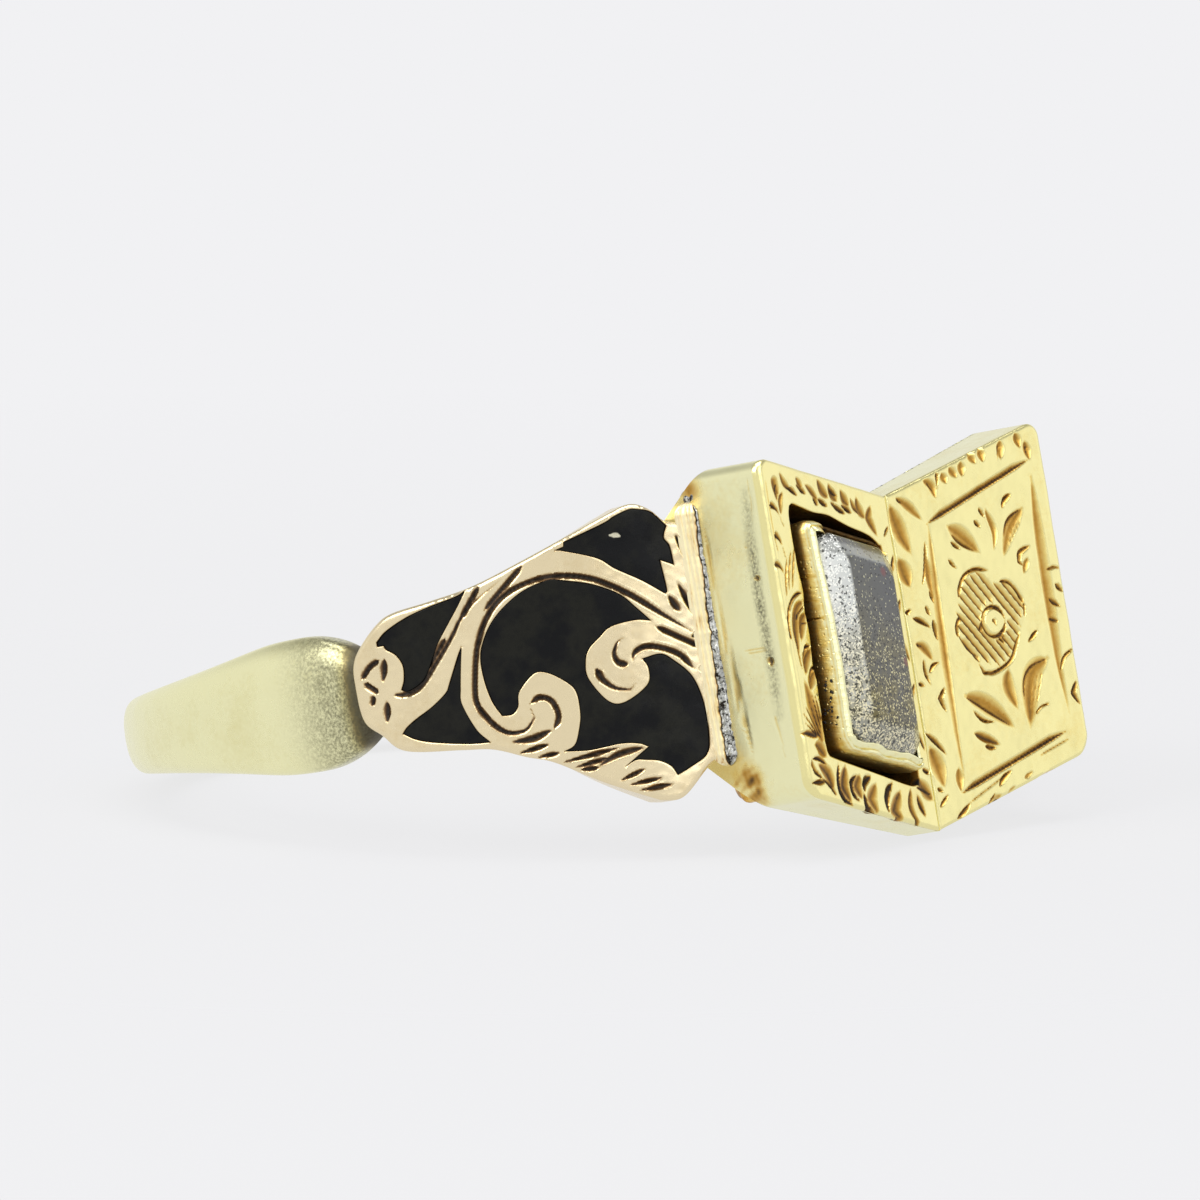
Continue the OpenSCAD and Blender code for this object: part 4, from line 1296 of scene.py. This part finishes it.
# %% The crystal
CRYSTAL_LEVELS = [(0.0, -0.65), (0.0, 0.38), (0.5, 0.7)]
CRYSTAL_SOFT = 0.07
RED_SPOTS = [(0.335, 0.855), (0.206, 0.435)]


def red_spot(tree, across, up, at):
    """A small spot under the glass, at shares of the crystal's width and height."""
    far = ((across - at[0]) * CRYSTAL_W) ** 2.0 + ((up - at[1]) * CRYSTAL_H) ** 2.0
    return ramp(tree, far, [(0.0, 0.7), (0.018, 0.0)])


def crystal_material():
    """Glass over old foil: silvery specks, greyer towards the fold and olive low in the middle. The
    sloping facets are painted light grey as reflections, with a painted highlight band at the top end
    and a painted shadow of the setting's wall above it.
    """
    material, tree, shader, where = start_material("old crystal")
    across, up = value_of(tree, "across"), value_of(tree, "up")
    facet = ramp(tree, across, [(0.8, 0.0), (0.83, 1.0)])
    foot = ramp(tree, up, [(0.09, 1.0), (0.12, 0.0)])
    slope = maths(tree, "MAXIMUM", facet, foot)
    low = ramp(tree, up, [(0.0, 1.0), (0.3, 0.9), (0.5, 0.5), (0.66, 0.15), (0.9, 0.0)])
    cloud = ramp(tree, noise(tree, where, 0.5, 4), [(0.35, 0.25), (0.6, 1.0)])
    # Across the width: darker towards the fold; the sloping outer facet is painted light grey, its
    # reflection.
    body = ramp(tree, across, [
        (0.0, srgb(20, 21, 26)), (0.1, srgb(38, 40, 46)), (0.3, srgb(68, 70, 74)),
        (0.8, srgb(84, 85, 82)), (0.83, srgb(206, 209, 206)), (1.0, srgb(216, 218, 214))])
    body = mix(tree, low * cloud, body, mix(tree, facet, srgb(112, 102, 54), srgb(138, 132, 100)))
    # The lower facet is painted light grey as a reflection.
    body = mix(tree, foot * 0.75, body, srgb(150, 150, 138))
    # A painted highlight band on the facet at the top end.
    top_facet_highlight = ramp(tree, up, [(0.885, 0.0), (0.9, 0.9), (0.945, 0.7), (0.965, 0.0)])
    body = mix(tree, top_facet_highlight, body, srgb(150, 152, 148))
    # Above it, a painted shadow of the setting's wall darkens the top edge.
    body = mix(tree, ramp(tree, up, [(0.945, 0.0), (0.975, 0.9)]), body, srgb(26, 26, 22))
    black = maths(tree, "LESS_THAN", grit(tree, where, 0.043), low * 0.22 + slope * 0.07 + 0.05)
    body = mix(tree, black * 0.85, body, srgb(22, 21, 15))
    # Silver specks are more and brighter on the sloping facets: painted glints.
    bright = maths(tree, "LESS_THAN", grit(tree, where, 0.033), low * 0.12 + slope * 0.2 + 0.03)
    silver = mix(tree, slope, srgb(170, 168, 140), srgb(244, 245, 240))
    silver = mix(tree, low * 0.7, silver, srgb(222, 208, 148))
    body = mix(tree, bright, body, silver)
    for at in RED_SPOTS:
        body = mix(tree, red_spot(tree, across, up, at), body, srgb(120, 40, 38))
    fill(tree, shader, {"Base Color": body, "Transmission Weight": 0.12, "IOR": 1.5, "Roughness": 0.12,
                        "Specular IOR Level": 0.35, "Coat Weight": 0.3, "Coat Roughness": 0.03})
    bump(tree, shader, noise(tree, where, 0.11, 5, 0.75), 0.006)
    return material


def crystal_shares(points):
    """Shares of the crystal's width, from the fold outwards, and of its height, from its lower end."""
    c, s = math.cos(REST_TILT), math.sin(REST_TILT)
    x, y, z = points.T / MM
    out, along = z * s - y * c, y * s + z * c
    p = -x * math.cos(PAGE_LEAN) + (out - FOLD_R) * math.sin(PAGE_LEAN)
    return (p - CRYSTAL_IN) / CRYSTAL_W, (along - slant(p)) / CRYSTAL_H + 0.5


def make_crystal():
    rings = [level_at(on_page, LEFT, h)(cut_rectangle(inset)) for inset, h in CRYSTAL_LEVELS]
    faces = [tuple(range(8)), tuple(range(16, 24))]
    for k in range(2):
        faces += quads(k * 8 + np.arange(8), k * 8 + 8 + np.arange(8))
    mesh = bpy.data.meshes.new("crystal_block")
    mesh.from_pydata(lay_down(np.vstack(rings)).tolist(), [], faces)
    solid = bmesh.new()
    solid.from_mesh(mesh)
    bmesh.ops.recalc_face_normals(solid, faces=solid.faces)
    bmesh.ops.bevel(solid, geom=list(solid.edges), offset=CRYSTAL_SOFT * MM, segments=4, profile=0.5,
                    affect="EDGES")
    solid.to_mesh(mesh)
    solid.free()
    points, faces = read_mesh(mesh)
    across, up = crystal_shares(points)
    values = {"across": across, "up": up}
    piece = new_piece("crystal_block", points, faces, values, crystal_material())
    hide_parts("crystal")


make_crystal()

# %% [markdown]
# ## Flakes and dark pits
# The foil under the crystal has broken into bright flakes, and the setting's wall has dark pits,
# made as black grains whose darkness is dirt with painted shade. Both are one small shape repeated
# many times, so one Geometry Nodes tree scatters them over a patch with a fixed seed, turns them at
# random and makes them real.

# %% The scattering tree
def scatter_tree(name, sizes, material, flat):
    """Small balls, flattened by a share, strewn over a patch and turned at random."""
    tree, size = start_tree(name, sizes)
    dots = node(tree, "GeometryNodeDistributePointsOnFaces", {
        "Mesh": size["Geometry"], "Density": size["Density"], "Seed": size["Seed"]})
    ball = node(tree, "GeometryNodeMeshIcoSphere", {"Radius": 1.0, "Subdivisions": 1})
    shape = node(tree, "GeometryNodeTransform", {"Geometry": ball.outputs[0], "Scale": (1.0, 0.7, flat)})
    turn = node(tree, "FunctionNodeRandomValue", {
        0: (-0.5, -0.5, 0.0), 1: (0.5, 0.5, 6.28), "Seed": size["Seed"]}, data_type="FLOAT_VECTOR")
    turned = node(tree, "FunctionNodeRotateEuler", {
        0: dots.outputs["Rotation"], 1: turn.outputs[0]}, space="LOCAL")
    scale = node(tree, "FunctionNodeRandomValue", {
        2: size["Smallest"], 3: size["Largest"], "Seed": size["Seed"]}, data_type="FLOAT")
    many = node(tree, "GeometryNodeInstanceOnPoints", {
        "Points": dots.outputs["Points"], "Instance": shape.outputs[0], "Rotation": turned.outputs[0],
        "Scale": scale.outputs[1]})
    return end_tree(tree, many.outputs[0], material)


def scatter(name, corners, sizes, material, flat):
    """Small shapes scattered over a patch given by its corners in upright millimetres."""
    patch = bpy.data.meshes.new(name + "_patch")
    patch.from_pydata([tuple(c) for c in corners], [], [tuple(range(len(corners)))])
    points, faces = read_mesh(grow(scatter_tree(name, sizes, material, flat), sizes, patch))
    return new_piece(name, lay_down(points), faces, {}, material)


def mottled_material(name, colour, dark, metallic, rough):
    """A small shape's finish, mottled between two colours."""
    material, tree, shader, where = start_material(name)
    fill(tree, shader, {"Base Color": mix(tree, noise(tree, where, 0.08, 3), dark, colour),
                        "Metallic": metallic, "Roughness": rough})
    bump(tree, shader, noise(tree, where, 0.03, 3), 0.003)
    return material


print("the trees so far:", len(bpy.data.node_groups))

# %% Scatter the flakes and the dark pits
FLAKES = {"Density": 40.0, "Smallest": 0.01, "Largest": 0.05, "Seed": 5}
PIT_MARKS = {"Density": 70.0, "Smallest": 0.02, "Largest": 0.05, "Seed": 3}
bright_foil = mottled_material("bright foil", srgb(228, 228, 224), srgb(170, 168, 150), 1.0, 0.3)
flake_patch = on_page(LEFT, *cut_rectangle(0.1).T, np.full(8, -0.655))
foil_flakes = scatter("foil_flakes", flake_patch, FLAKES, bright_foil, 0.08)

# Black grains stand for the wall's pits: dirt with painted shade.
pit_dirt_and_shade = mottled_material("pit dirt and shade", srgb(34, 28, 20), srgb(16, 13, 10), 0.0, 0.7)
wall_p = SETTING_IN + SETTING_W + 0.05
pit_levels, pit_heights = np.array([-2.5, -1.4, -1.3, -2.4]), np.array([-0.15, -0.1, 0.22, 0.22])
pit_patch = on_page(LEFT, np.full(4, wall_p), pit_levels, pit_heights)
wall_pit_marks = scatter("wall_pit_marks", pit_patch, PIT_MARKS, pit_dirt_and_shade, 0.6)

# %% [markdown]
# ## Solder
# The head is soldered to the shoulders. The seam shows as pale grooves beside a pitted grey strip,
# so it is a lumpy fillet that runs along the joint. A lump of run metal closes it at each end: grey
# at the top and burnt amber at the bottom.

# %% The soldered seams
SEAM_LOW, SEAM_HIGH = -2.85, 3.05
SEAM_ARC, SEAM_OUT = -3.52, 9.1
SEAM_ROWS = 27
WALL_X, ROOT_X, ROOT_OUT = 4.97, 4.85, 8.8
LUMPS = {
    "solder_lump_low": ((4.6, 9.06, -3.2), (0.36, 0.5, 0.58), 0.0),
    "solder_lump_high": ((4.74, 8.86, 3.08), (0.28, 0.42, 0.32), 0.72),
}


def solder_material():
    """Pale gold where the value grey is 0, silvery and pitted where it is 1, black between them."""
    material, tree, shader, where = start_material("old solder")
    grey = value_of(tree, "grey")
    grain = noise(tree, where, 0.12, 5, 0.75)
    seam_way = node(tree, "ShaderNodeMapping", {"Vector": where, "Rotation": (REST_TILT, 0, 0)}).outputs[0]
    streak = noise(tree, seam_way, 0.6, 4, 0.6, (9, 9, 1))
    colour = ramp(tree, grey + (streak - 0.5) * 1.1, [
        (0.0, srgb(240, 228, 188)), (0.13, srgb(234, 212, 162)), (0.24, srgb(196, 154, 96)),
        (0.34, srgb(96, 72, 40)), (0.56, srgb(38, 34, 28)), (0.68, srgb(160, 160, 156)),
        (0.9, srgb(214, 215, 212)), (1.0, srgb(170, 171, 168))])
    dark = ramp(tree, noise(tree, where, 0.16, 5, 0.8), [(0.43, 1.0), (0.49, 0.0)])
    dark = dark * ramp(tree, grey, [(0.0, 0.05), (0.5, 1.0)])
    colour = mix(tree, dark, colour, srgb(34, 30, 24))
    fill(tree, shader, {"Base Color": colour, "Metallic": 0.85, "Roughness": 0.38})
    bump(tree, shader, grain * grey, 0.03)
    bump(tree, shader, streak, 0.012)
    return material


def lump_material():
    """Gold that ran and was burnt amber, with sooty streaks."""
    material, tree, shader, where = start_material("burnt gold")
    streak = noise(tree, where, 0.5, 6, 0.7, (1.6, 1.6, 0.6))
    colour = ramp(tree, streak, [(0.34, srgb(236, 218, 140)), (0.5, srgb(218, 172, 76)),
                                 (0.6, srgb(160, 114, 42)), (0.68, srgb(52, 42, 30))])
    fill(tree, shader, {"Base Color": colour, "Metallic": 0.9, "Roughness": 0.36})
    bump(tree, shader, noise(tree, where, 0.25, 5, 0.65), 0.02)
    return material


old_solder, burnt_gold = solder_material(), lump_material()


def make_seam(side, word):
    """A strip from the shoulder to the head: pale grooves, then pitted grey solder."""
    along = np.linspace(SEAM_LOW, SEAM_HIGH, 420)
    count = len(along)
    line = np.stack((along, 0 * along), axis=1)
    lump = 0.5 * ripple(line, 1.2, 81) + 0.3 * ripple(line, 0.4, 82) + 0.2 * ripple(line, 0.15, 84)
    to_end = np.minimum(along - SEAM_LOW, SEAM_HIGH - along)
    size = np.sqrt(1 - (1 - np.clip(to_end / 0.3, 0, 1)) ** 2) * 0.85 + 0.15
    split = 0.55 + 0.065 * along + 0.1 * lump
    wall = np.stack((np.full(count, side * WALL_X), SEAM_OUT + 0.04 * lump, along), axis=1)
    root = np.stack((np.full(count, side * ROOT_X), np.full(count, ROOT_OUT), along), axis=1)
    out_way = np.array([side * 0.7, 0.7, 0])
    points, grey = [], []
    for t in np.linspace(0, 1, SEAM_ROWS):
        share = np.clip((t - split) / 0.14, 0, 1) * (1 - 0.5 * max(0, (t - 0.92) / 0.08))
        rough = ripple(np.stack((along, 0 * along + t), axis=1), 0.13, 83, 25)
        lifted = 0.03 * min(1, t / 0.08) - 0.02
        start = on_shoulder(side, np.full(count, SEAM_ARC), along, lifted + 0.002 * lump)
        height = 4 * t * (1 - t) * share * (0.02 * lump - 0.04 + 0.03 * rough)
        height += (1 - share) * 0.012 * math.cos(2 * math.pi * t * 5.5)
        surface = start * (1 - t) + wall * t + out_way * height[:, None]
        points.append(root + (surface - root) * size[:, None])
        grey.append(share)
    points.append(root)
    grey.append(0 * along)
    rows, row = len(points), np.arange(count)
    faces = []
    for k in range(rows):
        faces += quads(k * count + row, (k + 1) % rows * count + row, closed=False)
    faces += [tuple(k * count + end for k in range(rows)) for end in (0, count - 1)]
    return new_piece("solder_seam_" + word, lay_down(np.vstack(points)), faces,
                     {"grey": np.concatenate(grey)}, old_solder)


def make_lump(name, side, word):
    """A small uneven ball of run metal at one end of a seam."""
    middle, radii, grey = LUMPS[name]
    ball = bmesh.new()
    bmesh.ops.create_icosphere(ball, subdivisions=5, radius=1.0)
    way = np.array([v.co[:] for v in ball.verts])
    faces = [tuple(v.index for v in f.verts) for f in ball.faces]
    ball.free()
    uneven = 1 + 0.1 * ripple(way[:, :2] + 0.6 * way[:, 2:], 1.3, 91) + 0.025 * ripple(way[:, 1:], 0.4, 93)
    points = np.array(middle) + way * np.array(radii) * uneven[:, None]
    points[:, 0] *= side
    return new_piece(f"{name}_{word}", lay_down(points), faces, {"grey": np.full(len(points), grey)},
                     old_solder if grey else burnt_gold)


SIDES = {LEFT: "left", RIGHT: "right"}
seams = [make_seam(side, word) for side, word in SIDES.items()]
lumps = [make_lump(name, side, word) for name in LUMPS for side, word in SIDES.items()]
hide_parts("ring_body")

# %% [markdown]
# ## Light and floor
# A jewel is photographed in a tent of soft white light. Polished gold shows what surrounds it, so a
# bright world with a few darker zones gives the metal its contrast, and large soft lamps add the
# highlights. The floor is a pale seamless disc that fades into the background.

# %% Lights, world and floor
BACKGROUND = srgb(241, 241, 243)
FLOOR_Z = CAD_BOX[0][2] - 0.00001
FLOOR_RINGS = (20, 45, 90, 160)
FLOOR_TURNS = 96
LAMPS = [
    ("key softbox", -95, 40, 260, 160, 0.32), ("fill softbox", -10, 34, 280, 180, 0.16),
    ("top softbox", -40, 85, 260, 220, 0.4), ("page card", 52, 20, 260, 200, 0.03)]


def soft_lamp(name, azimuth, elevation, distance, size, watts):
    """A square lamp that points at the ring; distance and size are in millimetres."""
    away = direction(azimuth, elevation)
    lamp = show(name, bpy.data.lights.new(name, "AREA"))
    lamp.location = away * distance * MM
    lamp.rotation_euler = away.to_track_quat("Z", "Y").to_euler()
    lamp.data.size = size * MM
    lamp.data.energy = watts


def make_world():
    """A light tent that the metal mirrors, behind it a plain pale background for the camera."""
    world = bpy.data.worlds.new("light tent")
    world.use_nodes = True
    tree = world.node_tree
    tree.nodes.clear()
    way = node(tree, "ShaderNodeTexCoord").outputs["Generated"]
    height = Number(tree, node(tree, "ShaderNodeSeparateXYZ", {0: way}).outputs[2])
    tent = ramp(tree, height * 0.5 + 0.5,
                [(0.0, 0.64), (0.36, 0.8), (0.5, 0.84), (0.66, 0.85), (0.8, 0.5), (1.0, 0.4)])
    lit = node(tree, "ShaderNodeBackground", {"Color": tent, "Strength": 1.04})
    plain = node(tree, "ShaderNodeBackground", {"Color": BACKGROUND, "Strength": 1.0})
    seen = node(tree, "ShaderNodeLightPath").outputs["Is Camera Ray"]
    both = node(tree, "ShaderNodeMixShader", {0: seen, 1: lit.outputs[0], 2: plain.outputs[0]})
    tree.links.new(both.outputs[0], node(tree, "ShaderNodeOutputWorld").inputs[0])
    bpy.context.scene.world = world


def floor_material():
    """A pale matt floor that glows a little and fades into the background."""
    material, tree, shader, where = start_material("pale floor")
    fill(tree, shader, {"Base Color": (0.54, 0.54, 0.54, 1), "Roughness": 0.9, "Specular IOR Level": 0})
    far = Number(tree, node(tree, "ShaderNodeVectorMath", {0: where}, operation="LENGTH").outputs["Value"])
    fade = ramp(tree, far * (1000 / FLOOR_RINGS[-1]), [(0.12, 0.0), (0.55, 1.0)])
    glow = node(tree, "ShaderNodeEmission", {"Color": BACKGROUND, "Strength": 1.0})
    part = node(tree, "ShaderNodeMixShader", {0: 0.85, 1: shader.outputs[0], 2: glow.outputs[0]})
    clear = node(tree, "ShaderNodeBsdfTransparent")
    both = node(tree, "ShaderNodeMixShader", {0: fade, 1: part.outputs[0], 2: clear.outputs[0]})
    tree.links.new(both.outputs[0], tree.nodes["Material Output"].inputs[0])
    return material


def make_floor():
    turns = np.linspace(0, 2 * np.pi, FLOOR_TURNS + 1)[:-1]
    rings = [(r * math.cos(t), r * math.sin(t), 0) for r in FLOOR_RINGS for t in turns]
    points = np.array([(0, 0, 0)] + rings) * MM
    points[:, 2] = FLOOR_Z
    row = 1 + np.arange(FLOOR_TURNS)
    faces = [(0, a, b) for a, b in zip(row.tolist(), np.roll(row, -1).tolist())]
    for ring in range(len(FLOOR_RINGS) - 1):
        faces += quads(row + (ring + 1) * FLOOR_TURNS, row + ring * FLOOR_TURNS)
    mesh = bpy.data.meshes.new("floor")
    mesh.from_pydata(points.tolist(), [], faces)
    mesh.materials.append(floor_material())
    floor = show("floor", mesh)


for lamp in LAMPS:
    soft_lamp(*lamp)
make_world()
make_floor()
bpy.context.scene.view_settings.view_transform = "Standard"
print("floor at", round(FLOOR_Z * 1000, 2), "mm")

# %% How many pieces were made
print("pieces:", len(PIECES))
